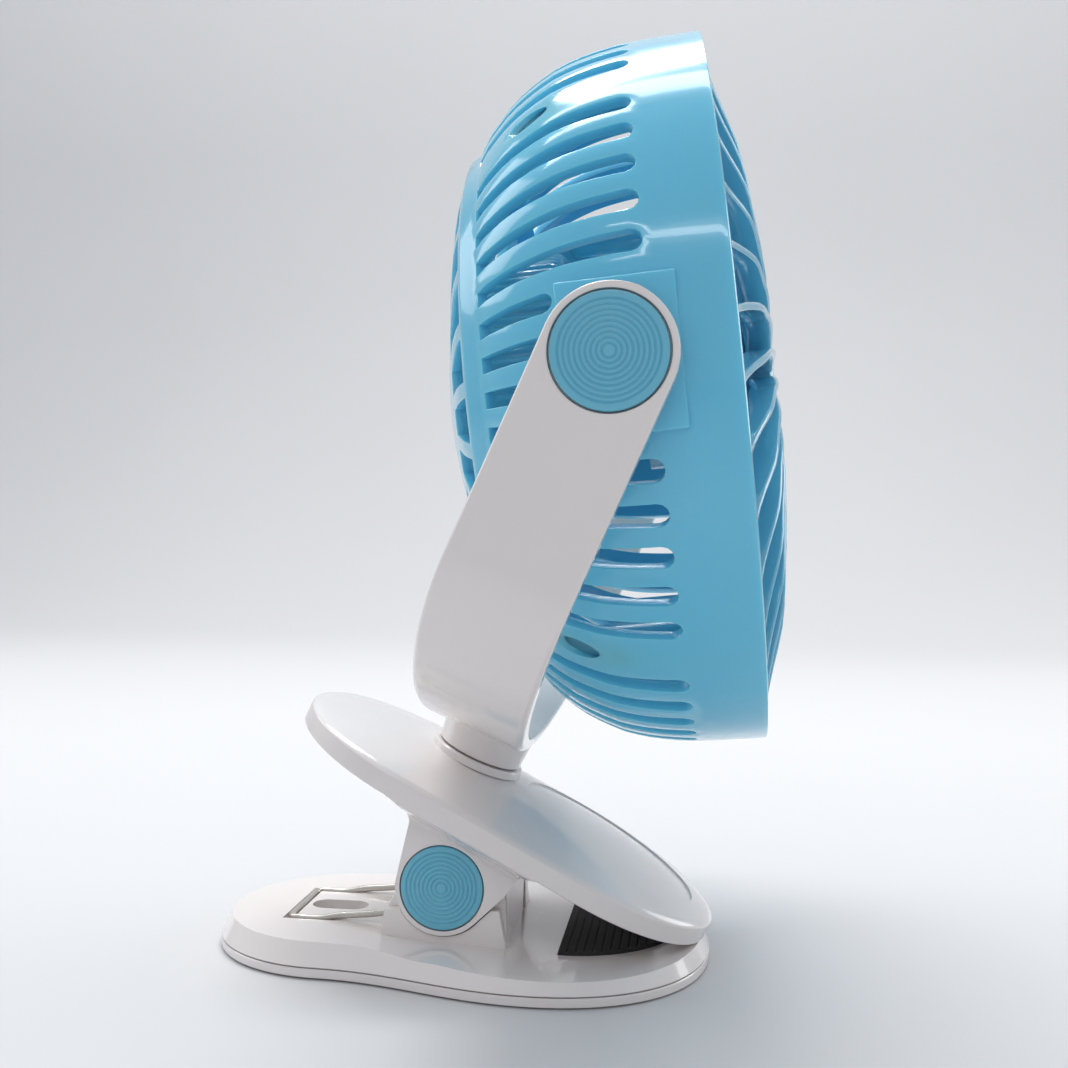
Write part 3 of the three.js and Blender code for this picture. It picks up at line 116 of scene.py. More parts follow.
def bezier(a: Point2, b: Point2, c: Point2, d: Point2, steps: int) -> list[Point2]:
    """Points along a cubic curve.

    Args:
        a, d: its two ends.
        b, c: their handles.
        steps: how many stretches it is cut into.

    Returns:
        steps + 1 points.
    """
    points = []
    for k in range(steps + 1):
        t = k / steps
        u = 1 - t
        shares = (u**3, 3 * u * u * t, 3 * u * t * t, t**3)
        points.append(tuple(sum(w * p[i] for w, p in zip(shares, (a, b, c, d))) for i in (0, 1)))
    return points


def tidy_line(points: Iterable[Point2], least: float = 1e-3) -> list[Point2]:
    """An open line without points that repeat the one before.

    Args:
        points: the line.
        least: how far apart two points have to be.

    Returns:
        The points that are kept.
    """
    kept: list[Point2] = []
    for p in points:
        if not kept or math.dist(p, kept[-1]) > least:
            kept.append(p)
    return kept


def tidy(points: Iterable[Point2], least: float = 0.02) -> list[Point2]:
    """A closed outline without repeated points, also where its end meets its start.

    Args:
        points: the outline.
        least: how far apart two points have to be.

    Returns:
        The points that are kept.
    """
    kept = tidy_line(points, least)
    if math.dist(kept[0], kept[-1]) <= least:
        kept.pop()
    return kept


def smooth_through(points: Profile, each: int) -> list[Point2]:
    """A smooth line through given points.

    Args:
        points: what it goes through.
        each: how many stretches it has between each two.

    Returns:
        The points of the line.
    """
    out: list[Point2] = []
    last = len(points) - 1
    for i in range(last):
        p0, p1, p2, p3 = (points[max(0, min(last, i + k))] for k in (-1, 0, 1, 2))
        for k in range(each):
            t = k / each
            out.append(tuple(
                0.5 * (2 * p1[a] + (p2[a] - p0[a]) * t + (2 * p0[a] - 5 * p1[a] + 4 * p2[a] - p3[a]) * t * t
                       + (3 * p1[a] - p0[a] - 3 * p2[a] + p3[a]) * t**3)
                for a in (0, 1)))
    return [*out, tuple(points[last])]


def swapped(points: Profile) -> list[Point2]:
    """The same line from its other end, with its two values swapped."""
    return [(second, first) for first, second in reversed(points)]


def value_at(points: Profile, given: float) -> float:
    """Reads a line of points as a table.

    Args:
        points: pairs of a first and a second value.
        given: the first value that is looked up.

    Returns:
        The second value there, or that of the nearer end.
    """
    for (x0, y0), (x1, y1) in zip(points, points[1:]):
        if min(x0, x1) <= given <= max(x0, x1) and x0 != x1:
            return y0 + (y1 - y0) * (given - x0) / (x1 - x0)
    return points[-1][1] if given > points[-1][0] else points[0][1]


# ---------------------------------------------------------------- bodies


class Join(Enum):
    """How two closed bodies are put together."""

    ADD = "UNION"
    CUT = "DIFFERENCE"
    KEEP = "INTERSECT"


class Along(Enum):
    """The axis that a bar or a slab runs along, as a turn of a body made along Z."""

    X = Matrix(((0, 0, 1, 0), (1, 0, 0, 0), (0, 1, 0, 0), (0, 0, 0, 1)))
    Y = Matrix(((0, -1, 0, 0), (0, 0, 1, 0), (-1, 0, 0, 0), (0, 0, 0, 1)))
    Z = Matrix.Identity(4)


class Body:
    """A closed body being shaped with mesh operators."""

    def __init__(self, mesh: bmesh.types.BMesh) -> None:
        """Keeps the mesh, which this body owns from now on."""
        self.mesh = mesh

    @classmethod
    def loft(cls, rings: Sequence[Sequence[Vector]], loop: bool = False) -> "Body":
        """A skin over rings of as many points each.

        Args:
            rings: closed rings, in order.
            loop: joins the last ring to the first, and leaves out the two end faces.

        Returns:
            The closed body.
        """
        mesh = bmesh.new()
        first = bmesh.ops.create_circle(mesh, segments=len(rings[0]), radius=1)["verts"]
        edges = list(mesh.edges)
        for vertex, place in zip(first, rings[0]):
            vertex.co = place
        if not loop:
            bmesh.ops.edgeloop_fill(mesh, edges=edges)
        current = list(first)
        for ring in rings[1:]:
            made = bmesh.ops.extrude_edge_only(mesh, edges=edges)["geom"]
            fresh = {g for g in made if isinstance(g, bmesh.types.BMVert)}
            edges = [g for g in made if isinstance(g, bmesh.types.BMEdge)]
            current = [
                next(e.other_vert(v) for e in v.link_edges if e.other_vert(v) in fresh) for v in current
            ]
            for vertex, place in zip(current, ring):
                vertex.co = place
        if loop:
            first_edges = [e for e in mesh.edges if e.verts[0] in first and e.verts[1] in first]
            bmesh.ops.bridge_loops(mesh, edges=first_edges + edges)
        else:
            bmesh.ops.edgeloop_fill(mesh, edges=edges)
        return cls(mesh).cleaned()

    @classmethod
    def slab(cls, outline: Profile, low: float, high: float, along: Along = Along.Z) -> "Body":
        """A flat outline drawn out along an axis.

        Args:
            outline: its points; (y, z) along X, (x, z) along Y, (x, y) along Z.
            low, high: where it begins and ends on the axis.
            along: the axis.

        Returns:
            The closed body.
        """
        points = tidy(outline)
        if along is Along.Y:
            rings = [[Vector((x, level, z)) for x, z in points] for level in (low, high)]
        elif along is Along.X:
            rings = [[Vector((level, y, z)) for y, z in points] for level in (low, high)]
        else:
            rings = [[Vector((x, y, level)) for x, y in points] for level in (low, high)]
        return cls.loft(rings)

    @classmethod
    def stack(cls, levels: Sequence[tuple[float, Profile]]) -> "Body":
        """Level outlines of one shape, joined from the lowest up."""
        return cls.loft([[Vector((x, y, z)) for x, y in outline] for z, outline in levels])

    @classmethod
    def turned(cls, profile: Profile, steps: int, along: Along,
               centre: Sequence[float] = (0, 0, 0)) -> "Body":
        """A profile of (place on the axis, radius) spun a full turn.

        Args:
            profile: an open line from axis to axis, or a closed one clear of it.
            steps: how many facets go round.
            along: the axis that it is spun about.
            centre: a point on that axis.

        Returns:
            The closed body.
        """
        mesh = bmesh.new()
        verts = [mesh.verts.new((r, 0, s)) for s, r in profile]
        edges = [mesh.edges.new(pair) for pair in zip(verts, verts[1:])]
        bmesh.ops.spin(mesh, geom=verts + edges, cent=(0, 0, 0), axis=(0, 0, 1), angle=math.tau,
                       steps=steps, use_merge=True)
        bmesh.ops.remove_doubles(mesh, verts=mesh.verts, dist=1e-4)
        return cls(mesh).moved(Matrix.Translation(centre) @ along.value).cleaned()

    @classmethod
    def rod(cls, along: Along, radius: float, low: float, high: float,
            centre: Sequence[float] = (0, 0, 0), steps: int = 48, ease: float = 0.0) -> "Body":
        """A round bar with its two ends eased by a small radius.

        Args:
            along: the axis that it runs along.
            radius: half its thickness.
            low, high: its two ends, in either order.
            centre: the point that the ends are counted from.
            steps: how many facets go round.
            ease: the radius of its end edges.

        Returns:
            The closed body.
        """
        low, high = min(low, high), max(low, high)
        profile = [(low, 0.0), *((low + ease - a, radius - ease + b) for b, a in arc(0, 0, ease, 90, 0, 4)),
                   *((high - ease + a, radius - ease + b) for b, a in arc(0, 0, ease, 0, 90, 4)), (high, 0.0)]
        return cls.turned(tidy_line(profile), steps, along, centre)

    @classmethod
    def block(cls, low: Sequence[float], high: Sequence[float]) -> "Body":
        """A box between two corners."""
        mesh = bmesh.new()
        size = [b - a for a, b in zip(low, high)]
        middle = [(a + b) / 2 for a, b in zip(low, high)]
        bmesh.ops.create_cube(mesh, size=1, matrix=Matrix.Translation(middle) @ Matrix.Diagonal((*size, 1)))
        return cls(mesh)

    def cleaned(self) -> "Body":
        """Merges doubles and turns the faces outwards."""
        bmesh.ops.remove_doubles(self.mesh, verts=self.mesh.verts, dist=1e-4)
        bmesh.ops.recalc_face_normals(self.mesh, faces=self.mesh.faces)
        return self

    def moved(self, matrix: Matrix) -> "Body":
        """Moves the body by a matrix, and turns its faces back out if the matrix mirrors it."""
        bmesh.ops.transform(self.mesh, matrix=matrix, verts=self.mesh.verts)
        if matrix.determinant() < 0:
            bmesh.ops.reverse_faces(self.mesh, faces=self.mesh.faces)
        return self

    def copied(self, matrix: Matrix = ROW_FRAME) -> "Body":
        """A copy of the body, moved by a matrix."""
        return Body(self.mesh.copy()).moved(matrix)

    def beside(self, *others: "Body") -> "Body":
        """Takes other bodies in, without joining their surfaces."""
        for other in others:
            loose = bpy.data.meshes.new("loose")
            other.mesh.to_mesh(loose)
            self.mesh.from_mesh(loose)
            bpy.data.meshes.remove(loose)
        return self

    def _as_object(self, name: str) -> bpy.types.Object:
        """An object in the scene that holds a copy of the mesh."""
        data = bpy.data.meshes.new(name)
        self.mesh.to_mesh(data)
        made = bpy.data.objects.new(name, data)
        bpy.context.scene.collection.objects.link(made)
        return made

    def put(self, how: Join, *others: "Body") -> "Body":
        """Joins, cuts or keeps this body with others, one after the other.

        Args:
            how: what each other body does to this one.
            others: closed bodies.

        Returns:
            This body.
        """
        for other in others:
            base, tool = self._as_object("base"), other._as_object("tool")
            step = base.modifiers.new("put", "BOOLEAN")
            step.operation = how.value
            step.solver = "MANIFOLD" if self.closed() and other.closed() else "EXACT"
            step.object = tool
            graph = bpy.context.evaluated_depsgraph_get()
            seen = base.evaluated_get(graph)
            result = bmesh.new()
            result.from_mesh(seen.to_mesh())
            seen.to_mesh_clear()
            if not result.faces:
                raise ValueError(f"nothing is left after {how.name}")
            for spent in (base, tool):
                data = spent.data
                bpy.data.objects.remove(spent)
                bpy.data.meshes.remove(data)
            self.mesh.free()
            self.mesh = result
        return self

    def closed(self) -> bool:
        """Whether every edge has a face on each side."""
        return all(len(e.link_faces) == 2 for e in self.mesh.edges)

    def softened(self, width: float, segments: int = 2, over: float = 40.0, clamp: bool = True) -> "Body":
        """Rounds the edges whose faces meet at more than an angle.

        Args:
            width: how far the rounding reaches from the edge.
            segments: facets across the rounding.
            over: the least angle, in degrees.
            clamp: keeps neighbouring roundings from running into each other.

        Returns:
            This body.
        """
        least = math.radians(over)
        edges = [e for e in self.mesh.edges if len(e.link_faces) == 2 and e.calc_face_angle() > least]
        bmesh.ops.bevel(self.mesh, geom=edges, offset=width, offset_type="OFFSET", segments=segments,
                        profile=0.5, affect="EDGES", clamp_overlap=clamp, material=-1)
        return self

    def piece(self, name: str, place: Matrix, rides_on: str, stands_for: Sequence[str], slot: str,
              finish: "Finish", sharp: float = 35.0, even: bool = False) -> bpy.types.Object:
        """Finishes the body as a piece of the object.

        Args:
            name: the piece's name.
            place: the frame that the body was made in.
            rides_on: the moving body that carries it.
            stands_for: the nodes that it replaces.
            slot: the material slot that it takes its finish from.
            finish: what dresses it.
            sharp: faces that meet at more than this many degrees keep a crisp edge.
            even: weighs the shading towards the large faces.

        Returns:
            The object.
        """
        if not self.closed():
            bmesh.ops.remove_doubles(self.mesh, verts=self.mesh.verts, dist=1e-3)
        bmesh.ops.recalc_face_normals(self.mesh, faces=self.mesh.faces)
        self.moved(Matrix.Diagonal((MM, MM, MM, 1)) @ place)
        for face in self.mesh.faces:
            face.smooth = True
        for edge in self.mesh.edges:
            edge.smooth = len(edge.link_faces) == 2 and edge.calc_face_angle() < math.radians(sharp)
        state = "closed" if self.closed() else "OPEN"
        data = bpy.data.meshes.new(name)
        self.mesh.to_mesh(data)
        self.mesh.free()
        made = bpy.data.objects.new(name, data)
        bpy.context.scene.collection.objects.link(made)
        if even:
            weigh = made.modifiers.new("even shading", "WEIGHTED_NORMAL")
            weigh.keep_sharp = True
        made.data.materials.append(finish.material())
        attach(made, rides_on)
        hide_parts(*stands_for)
        log.info("%s rides on %s: %d faces, %s", name, rides_on, len(data.polygons), state)
        return made


# ---------------------------------------------------------------- shader graph

Value = Union["Signal", float]
Colour = tuple[float, float, float]


class Signal:
    """A socket whose value can be used in sums."""

    def __init__(self, graph: "Graph", socket: bpy.types.NodeSocket) -> None:
        """Keeps the socket and the graph that it is in."""
        self.graph = graph
        self.socket = socket

    def _with(self, operation: str, first: Value, second: Value) -> "Signal":
        """A Math node on two values."""
        return self.graph.node("ShaderNodeMath", {"operation": operation}, {0: first, 1: second})

    def __add__(self, other: Value) -> "Signal":
        """The sum."""
        return self._with("ADD", self, other)

    def __radd__(self, other: Value) -> "Signal":
        """The sum, from the right."""
        return self._with("ADD", other, self)

    def __sub__(self, other: Value) -> "Signal":
        """The difference."""
        return self._with("SUBTRACT", self, other)

    def __rsub__(self, other: Value) -> "Signal":
        """The difference, from the right."""
        return self._with("SUBTRACT", other, self)

    def __mul__(self, other: Value) -> "Signal":
        """The product."""
        return self._with("MULTIPLY", self, other)

    def __rmul__(self, other: Value) -> "Signal":
        """The product, from the right."""
        return self._with("MULTIPLY", other, self)


class Graph:
    """A material's node tree while it is being built."""

    def __init__(self, name: str) -> None:
        """Starts a material with a bare principled shader."""
        self.result = bpy.data.materials.new(name)
        self.result.use_nodes = True
        self.tree = self.result.node_tree
        self.tree.nodes.clear()
        self.shader = self.tree.nodes.new("ShaderNodeBsdfPrincipled")
        out = self.tree.nodes.new("ShaderNodeOutputMaterial")
        self.tree.links.new(self.shader.outputs[0], out.inputs[0])

    def node(self, kind: str, settings: dict, inputs: dict, output: Union[int, str] = 0) -> Signal:
        """Adds any node.

        Args:
            kind: the node's type.
            settings: its own properties, set first.
            inputs: socket name or number to a value or a signal.
            output: which output is handed back.

        Returns:
            That output.
        """
        made = self.tree.nodes.new(kind)
        for key, value in settings.items():
            if key == "stops":
                self._stops(made, value)
            else:
                setattr(made, key, value)
        for key, value in inputs.items():
            self.feed(made.inputs[key], value)
        return Signal(self, made.outputs[output])

    @staticmethod
    def _stops(ramp: bpy.types.Node, stops: Sequence[tuple[float, float]]) -> None:
        """Sets a ramp's grey stops."""
        elements = ramp.color_ramp.elements
        while len(elements) < len(stops):
            elements.new(0.5)
        for element, (place, grey) in zip(elements, stops):
            element.position = place
            element.color = (grey, grey, grey, 1)

    def feed(self, socket: bpy.types.NodeSocket, value: object) -> None:
        """Links a signal into a socket, or sets the socket's own value."""
        if isinstance(value, Signal):
            self.tree.links.new(value.socket, socket)
        else:
            socket.default_value = value

    def set(self, **values: object) -> None:
        """Feeds the principled shader's sockets; underscores stand for spaces."""
        for key, value in values.items():
            self.feed(self.shader.inputs[key.replace("_", " ")], value)

    def place(self) -> Signal:
        """The point on the piece, in the row frame."""
        return self.node("ShaderNodeTexCoord", {}, {}, "Object")

    def noise(self, scale: float, detail: float = 2.0, vector: Union[Signal, None] = None) -> Signal:
        """Soft noise from 0 to 1, with a number of waves to the metre."""
        where = vector or self.place()
        return self.node("ShaderNodeTexNoise", {}, {"Vector": where, "Scale": scale, "Detail": detail}, 0)

    def ramp(self, value: Signal, *stops: tuple[float, float]) -> Signal:
        """A value put through a ramp of grey stops."""
        return self.node("ShaderNodeValToRGB", {"stops": stops}, {0: value}, 0)

    def mix(self, share: Value, first: object, second: object) -> Signal:
        """A colour between two colours."""
        made = self.tree.nodes.new("ShaderNodeMix")
        made.data_type = "RGBA"
        self.feed(made.inputs[0], share)
        for socket, value in ((made.inputs[6], first), (made.inputs[7], second)):
            self.feed(socket, (*value, 1) if isinstance(value, tuple) else value)
        return Signal(self, made.outputs[2])

    def bump(self, height: Value, distance: float, strength: float = 1.0) -> Signal:
        """A normal bent by a height."""
        return self.node("ShaderNodeBump", {},
                         {"Height": height, "Distance": distance, "Strength": strength}, "Normal")


# ---------------------------------------------------------------- finishes


@dataclass(frozen=True)
class Finish:
    """What every finish has: a name, and a material that is made once."""

    name: str

    def material(self) -> bpy.types.Material:
        """The finish's material, made the first time that it is asked for."""
        return bpy.data.materials.get(self.name) or self._made()

    def _made(self) -> bpy.types.Material:
        """Builds the material."""
        raise NotImplementedError


@dataclass(frozen=True)
class MouldedPlastic(Finish):
    """Glossy injection-moulded plastic, with slow unevenness and fine handling marks."""

    colour: Colour
    deep: Colour
    roughness: float = 0.2
    coat: float = 0.5
    see_through: float = 0.0
    soft_depth: float = 0.0

    def _made(self) -> bpy.types.Material:
        """Two close tones, smudged gloss, hair scratches and a trace of moulding ripple."""
        g = Graph(self.name)
        slow = g.noise(22, 3)
        smudge = g.ramp(g.noise(60, 3), (0.35, 0.0), (0.75, 1.0))
        dust = g.ramp(g.noise(1500, 1), (0.70, 0.0), (0.76, 1.0))
        stretch = g.node("ShaderNodeMapping", {}, {"Vector": g.place(), "Scale": (40.0, 900.0, 260.0)})
        scratch = g.ramp(g.noise(1, 1, stretch), (0.68, 0.0), (0.74, 1.0))
        tone = g.mix(slow, self.deep, self.colour)
        g.set(Base_Color=g.mix(dust * 0.05, tone, (0.75, 0.75, 0.74)))
        g.set(Roughness=self.roughness + smudge * 0.03 + scratch * 0.05 + dust * 0.08)
        g.set(Coat_Weight=self.coat, Coat_Roughness=0.03, Coat_IOR=1.5, IOR=1.49)
        g.set(Transmission_Weight=self.see_through)
        if self.soft_depth:
            g.set(Subsurface_Weight=0.35, Subsurface_Scale=self.soft_depth,
                  Subsurface_Radius=(0.6, 1.0, 1.4))
        g.set(Normal=g.bump(g.noise(38, 1) + g.noise(2600, 1) * 0.012, 0.00012, 0.4))
        return g.result


@dataclass(frozen=True)
class Rubber(Finish):
    """Matte black rubber with a fine grain and a little bloom."""

    colour: Colour = (0.012, 0.012, 0.013)
    bloom: Colour = (0.05, 0.05, 0.052)

    def _made(self) -> bpy.types.Material:
        """Grain in the height, and pale bloom in patches."""
        g = Graph(self.name)
        patch = g.ramp(g.noise(90, 4), (0.45, 0.0), (0.75, 1.0))
        grain = g.noise(3200, 2)
        g.set(Base_Color=g.mix(patch * 0.5, self.colour, self.bloom))
        g.set(Roughness=0.62 + patch * 0.15, IOR=1.52, Normal=g.bump(grain, 0.0001, 0.6))
        return g.result


@dataclass(frozen=True)
class Metal(Finish):
    """Drawn, turned or plated metal with fine lines along one axis."""

    colour: Colour
    roughness: float = 0.22
    lines: tuple[float, float, float] = (60.0, 2600.0, 2600.0)
    tarnish: float = 0.15

    def _made(self) -> bpy.types.Material:
        """Tool lines in gloss and height, and a warm tarnish in patches."""
        g = Graph(self.name)
        stretched = g.node("ShaderNodeMapping", {}, {"Vector": g.place(), "Scale": self.lines})
        line = g.noise(1, 2, stretched)
        patch = g.ramp(g.noise(140, 3), (0.4, 0.0), (0.75, 1.0))
        dull = tuple(c * 0.55 for c in self.colour)
        g.set(Base_Color=g.mix(patch * self.tarnish, self.colour, dull), Metallic=1.0)
        g.set(Roughness=self.roughness + line * 0.12 + patch * 0.08, Normal=g.bump(line, 0.00003, 0.5))
        return g.result


@dataclass(frozen=True)
class BoardLacquer(Finish):
    """Green lacquer over copper tracks."""

    colour: Colour = (0.012, 0.10, 0.045)
    track: Colour = (0.03, 0.19, 0.08)

    def _made(self) -> bpy.types.Material:
        """Straight tracks under a glossy lacquer."""
        g = Graph(self.name)
        place = g.node("ShaderNodeMapping", {}, {"Vector": g.place(), "Scale": (1.0, 700.0, 350.0)})
        tracks = g.node("ShaderNodeTexBrick", {"offset": 0.35},
                        {"Vector": place, "Color1": (1, 1, 1, 1), "Color2": (1, 1, 1, 1),
                         "Mortar": (0, 0, 0, 1), "Scale": 1.0, "Mortar Size": 0.12}, "Fac")
        g.set(Base_Color=g.mix(tracks, self.track, self.colour), Roughness=0.3 + g.noise(300) * 0.1,
              Normal=g.bump(tracks, 0.00004, 0.5))
        return g.result


WHITE = MouldedPlastic("white_moulding", (0.83, 0.785, 0.77), (0.80, 0.75, 0.735), 0.17, 0.6)
BLUE = MouldedPlastic("blue_moulding", (0.150, 0.585, 0.80), (0.130, 0.55, 0.77), 0.15, 0.45, 0.0, 0.003)
CAP_BLUE = MouldedPlastic("cap_moulding", (0.155, 0.50, 0.66), (0.140, 0.475, 0.64), 0.30, 0.25)
CLEAR_BLUE = MouldedPlastic("clear_moulding", (0.20, 0.66, 0.88), (0.16, 0.61, 0.85), 0.12, 0.5, 0.35)
BLACK_RUBBER = Rubber("black_rubber")
BLACK_PLASTIC = MouldedPlastic("black_moulding", (0.02, 0.02, 0.022), (0.015, 0.015, 0.016), 0.45, 0.0)
STEEL = Metal("drawn_steel", (0.60, 0.575, 0.53))
PLATED = Metal("plated_steel", (0.62, 0.62, 0.62), 0.3, (900.0, 900.0, 900.0))
BRASS = Metal("turned_brass", (0.66, 0.50, 0.24), 0.28)
CELL_CAN = Metal("cell_can", (0.55, 0.58, 0.62), 0.3, (2600.0, 60.0, 2600.0))
LACQUER = BoardLacquer("board_lacquer")


# ---------------------------------------------------------------- base


@dataclass
class Base:
    """The lower jaw: cover, shell with its pivot block, pad, feet, screws, axle and spring."""

    rear_x: float = -29.0
    rear_radius: float = 34.0
    half_width: float = 43.8
    widest_x: float = 24.0
    front_x: float = 66.0
    fullness: float = 0.62
    cover: float = 2.2
    deck: float = 6.6
    plateau: float = 8.0
    dish: tuple[float, float, float] = (34.0, 5.5, 450.0)  # lowest x, its height, radius
    axle_z: float = AXLE_HEIGHT
    axle_radius: float = 2.2
    block: tuple[float, float] = (-15.4, 16.2)
    lug: tuple[float, float, float] = (14.0, 19.3, 11.0)  # inner, outer, radius
    cheek: tuple[float, float] = (22.0, 14.6)
    slot: tuple[float, float, float] = (-32.2, 15.2, 8.0)  # middle, length, width
    gap: float = 0.3
    feet: tuple[Point2, ...] = ((-50, -14), (-50, 14), (44, -22), (44, 22))
    screws: tuple[Point2, ...] = ((-22, -24), (-22, 24), (57, 0))
    wire: float = 0.9
    spring_bar: tuple[float, float] = (-42.3, 12.5)  # x of the cross bar, half its length
    beyond: float = 60.0  # how far a cutting tool reaches past the middle

    def outline(self, inset: float) -> list[Point2]:
        """The base seen from above.

        Args:
            inset: how far it is drawn in.

        Returns:
            The closed outline.
        """
        rear, half, nose = self.rear_radius - inset, self.half_width - inset, self.front_x - inset
        handle = self.widest_x + self.fullness * (nose - self.widest_x)
        waist, shoulder = self.widest_x - 20, self.rear_x + 20
        side = bezier((self.rear_x, -rear), (shoulder, -rear), (waist, -half), (self.widest_x, -half), 16)
        front = bezier((self.widest_x, -half), (handle, -half), (nose, -half * self.fullness), (nose, 0), 20)
        lower = side + front[1:]
        upper = [(x, -y) for x, y in reversed(lower)]
        return tidy(lower + upper + arc(self.rear_x, 0, rear, 90, 270, 40))

    def dish_height(self, x: float) -> float:
        """The height of the hollowed deck at a place along the base."""
        middle, low, radius = self.dish
        return low + (x - middle) ** 2 / (2 * radius)

    def top_tool(self, depth: float) -> Body:
        """What is hollowed off the plate: nothing at the rear, then down to the deck and its dish.

        Args:
            depth: how much further down it reaches.

        Returns:
            The tool.
        """
        start, length, ramp, steps = -20, 90, 18, 48
        line = []
        for x in (start + length * k / steps for k in range(steps + 1)):
            fall = min(1.0, (x - start) / ramp)
            level = self.plateau - (self.plateau - self.deck) * fall * fall * (3 - 2 * fall)
            line.append((x, min(level, self.dish_height(x)) - depth))
        rear, top = start - 0.5, self.plateau + 9
        return Body.slab([(rear, top), (rear, self.plateau), *line, (start + length, top)],
                         -self.beyond, self.beyond, Along.Y)

    def dish_tool(self, start: float, depth: float) -> Body:
        """What is hollowed off the front deck, down to a depth below the dish.

        Args:
            start: where it begins along the base.
            depth: how far it goes below the dish.

        Returns:
            The tool.
        """
        reach, top, steps = self.front_x + 4, 30.0, 24
        xs = [start + (reach - start) * k / steps for k in range(steps + 1)]
        line = [(x, self.dish_height(x) - depth) for x in xs]
        return Body.slab([(start, top), *line, (reach, top)], -self.beyond, self.beyond, Along.Y)

    def slot_tool(self, margin: float) -> Body:
        """The hanging slot, wider by a margin on each side."""
        middle, length, width = self.slot
        radius = width / 2 + margin
        reach = length / 2 - width / 2
        outline = arc(middle + reach, 0, radius, -90, 90, 20) + arc(middle - reach, 0, radius, 90, 270, 20)
        return Body.slab(outline, -2, 20)

    def build_cover(self) -> None:
        """The plate under the base, with seats for the feet and the screws."""
        insets = ((0.0, 0.35), (0.12, 0.1), (0.35, 0), (self.cover - 0.25, 0), (self.cover, 0.25))
        body = Body.stack([(level, self.outline(inset)) for level, inset in insets])
        tools = [self.slot_tool(self.gap)]
        tools += [Body.rod(Along.Z, 5.3, -1, 0.8, (x, y, 0)) for x, y in self.feet]
        for x, y in self.screws:
            tools += [Body.rod(Along.Z, 3.1, -1, 1.4, (x, y, 0)), Body.rod(Along.Z, 1.5, 0, 4, (x, y, 0), 24)]
        body.put(Join.CUT, *tools)
        body.piece("base_cover_plate", ROW_FRAME, "base", ["base_cover"], "white_plastic", WHITE, even=True)

    def spring_groove(self) -> list[Body]:
        """The trench under the spring's bar and the first stretch of its legs."""
        wide, top, front = self.wire + 0.5, 12, -29.3
        bar_x, out = self.spring_bar
        bar = Body.block((bar_x - wide, -out - wide, self.deck), (bar_x + wide, out + wide, top))
        legs = [Body.block((bar_x, side * out - wide, self.deck), (front, side * out + wide, top))
                for side, _ in SIDES]
        return [bar, *legs]

    def ear_gap(self) -> Body:
        """The round seat that the jaw's ear turns in."""
        return Body.slab(ear_outline(0.5), -self.beyond, self.beyond, Along.Y)

    def pivot_block(self) -> Body:
        """Two lugs, the wall between them and the cheeks outside them."""
        rear, front = self.block
        inner, outer, radius = self.lug
        half, top = self.cheek
        foot, wall_top = self.dish[1] - 1, 18.7
        lug = [(rear, foot), (front, foot), (front - 0.6, wall_top),
               *arc(0, self.axle_z, radius, 0, 180, 40), (rear + 1, top)]
        cheek = [(rear - 0.4, foot), (front + 0.4, foot), (front - 1.8, top + 0.5), (rear + 0.6, top - 0.4)]
        whole = Body.block((front - 3.6, -inner - 1, foot), (front - 0.6, inner + 1, wall_top))
        for side, _ in SIDES:
            low, high = sorted((side * inner, side * outer))
            near, far = sorted((side * (outer - 0.5), side * half))
            whole.put(Join.ADD, Body.slab(lug, low, high, Along.Y).softened(0.5, 2))
            saddle = Body.slab(cheek, near, far, Along.Y).softened(0.4, 2).put(Join.CUT, self.ear_gap())
            whole.put(Join.ADD, saddle)
        return whole

    def build_shell(self) -> None:
        """The drafted plate with its hollowed deck, raised rear, pivot block and seats."""
        floor = self.cover + self.gap
        insets = ((floor, 0.2), (floor + 0.25, 0.02), (4.8, 1.1), (6.8, 2.1), (self.plateau, 2.7))
        body = Body.stack([(level, self.outline(inset)) for level, inset in insets])
        body.put(Join.CUT, self.top_tool(0)).softened(0.7, 3, 38)
        body.put(Join.ADD, self.pivot_block())
        seat = Body.stack([(4.0, pad_outline(self.gap)), (20.0, pad_outline(self.gap))])
        under = Body.block((0, -99, 0), (99, 99, 30)).put(Join.CUT, self.dish_tool(0, 0.5))
        body.put(Join.CUT, *self.spring_groove(), self.slot_tool(0), seat.put(Join.CUT, under))
        body.put(Join.CUT, Body.rod(Along.Y, self.axle_radius + self.gap, -50, 50, (0, 0, self.axle_z)))
        body.piece("base_shell_moulding", ROW_FRAME, "base", ["base_shell"], "white_plastic", WHITE,
                   even=True)

    def build_pad(self) -> None:
        """The grip pad: a black slab with cross ribs, lying in its seat."""
        column = Body.stack([(0, pad_outline(0)), (20, pad_outline(0))])
        column.put(Join.CUT, self.dish_tool(0, -1.1))
        under = Body.block((0, -99, 0), (99, 99, 30)).put(Join.CUT, self.dish_tool(0, 0.2))
        column.put(Join.CUT, under)
        grooves = [Body.rod(Along.Y, 0.45, -30, 30, (x, 0, self.dish_height(x) + 1.25), 12)
                   for x in (31.5 + 2.1 * k for k in range(12))]
        column.put(Join.CUT, *grooves)
        column.piece("base_grip_pad", ROW_FRAME, "base", ["base_pad"], "black_rubber", BLACK_RUBBER)

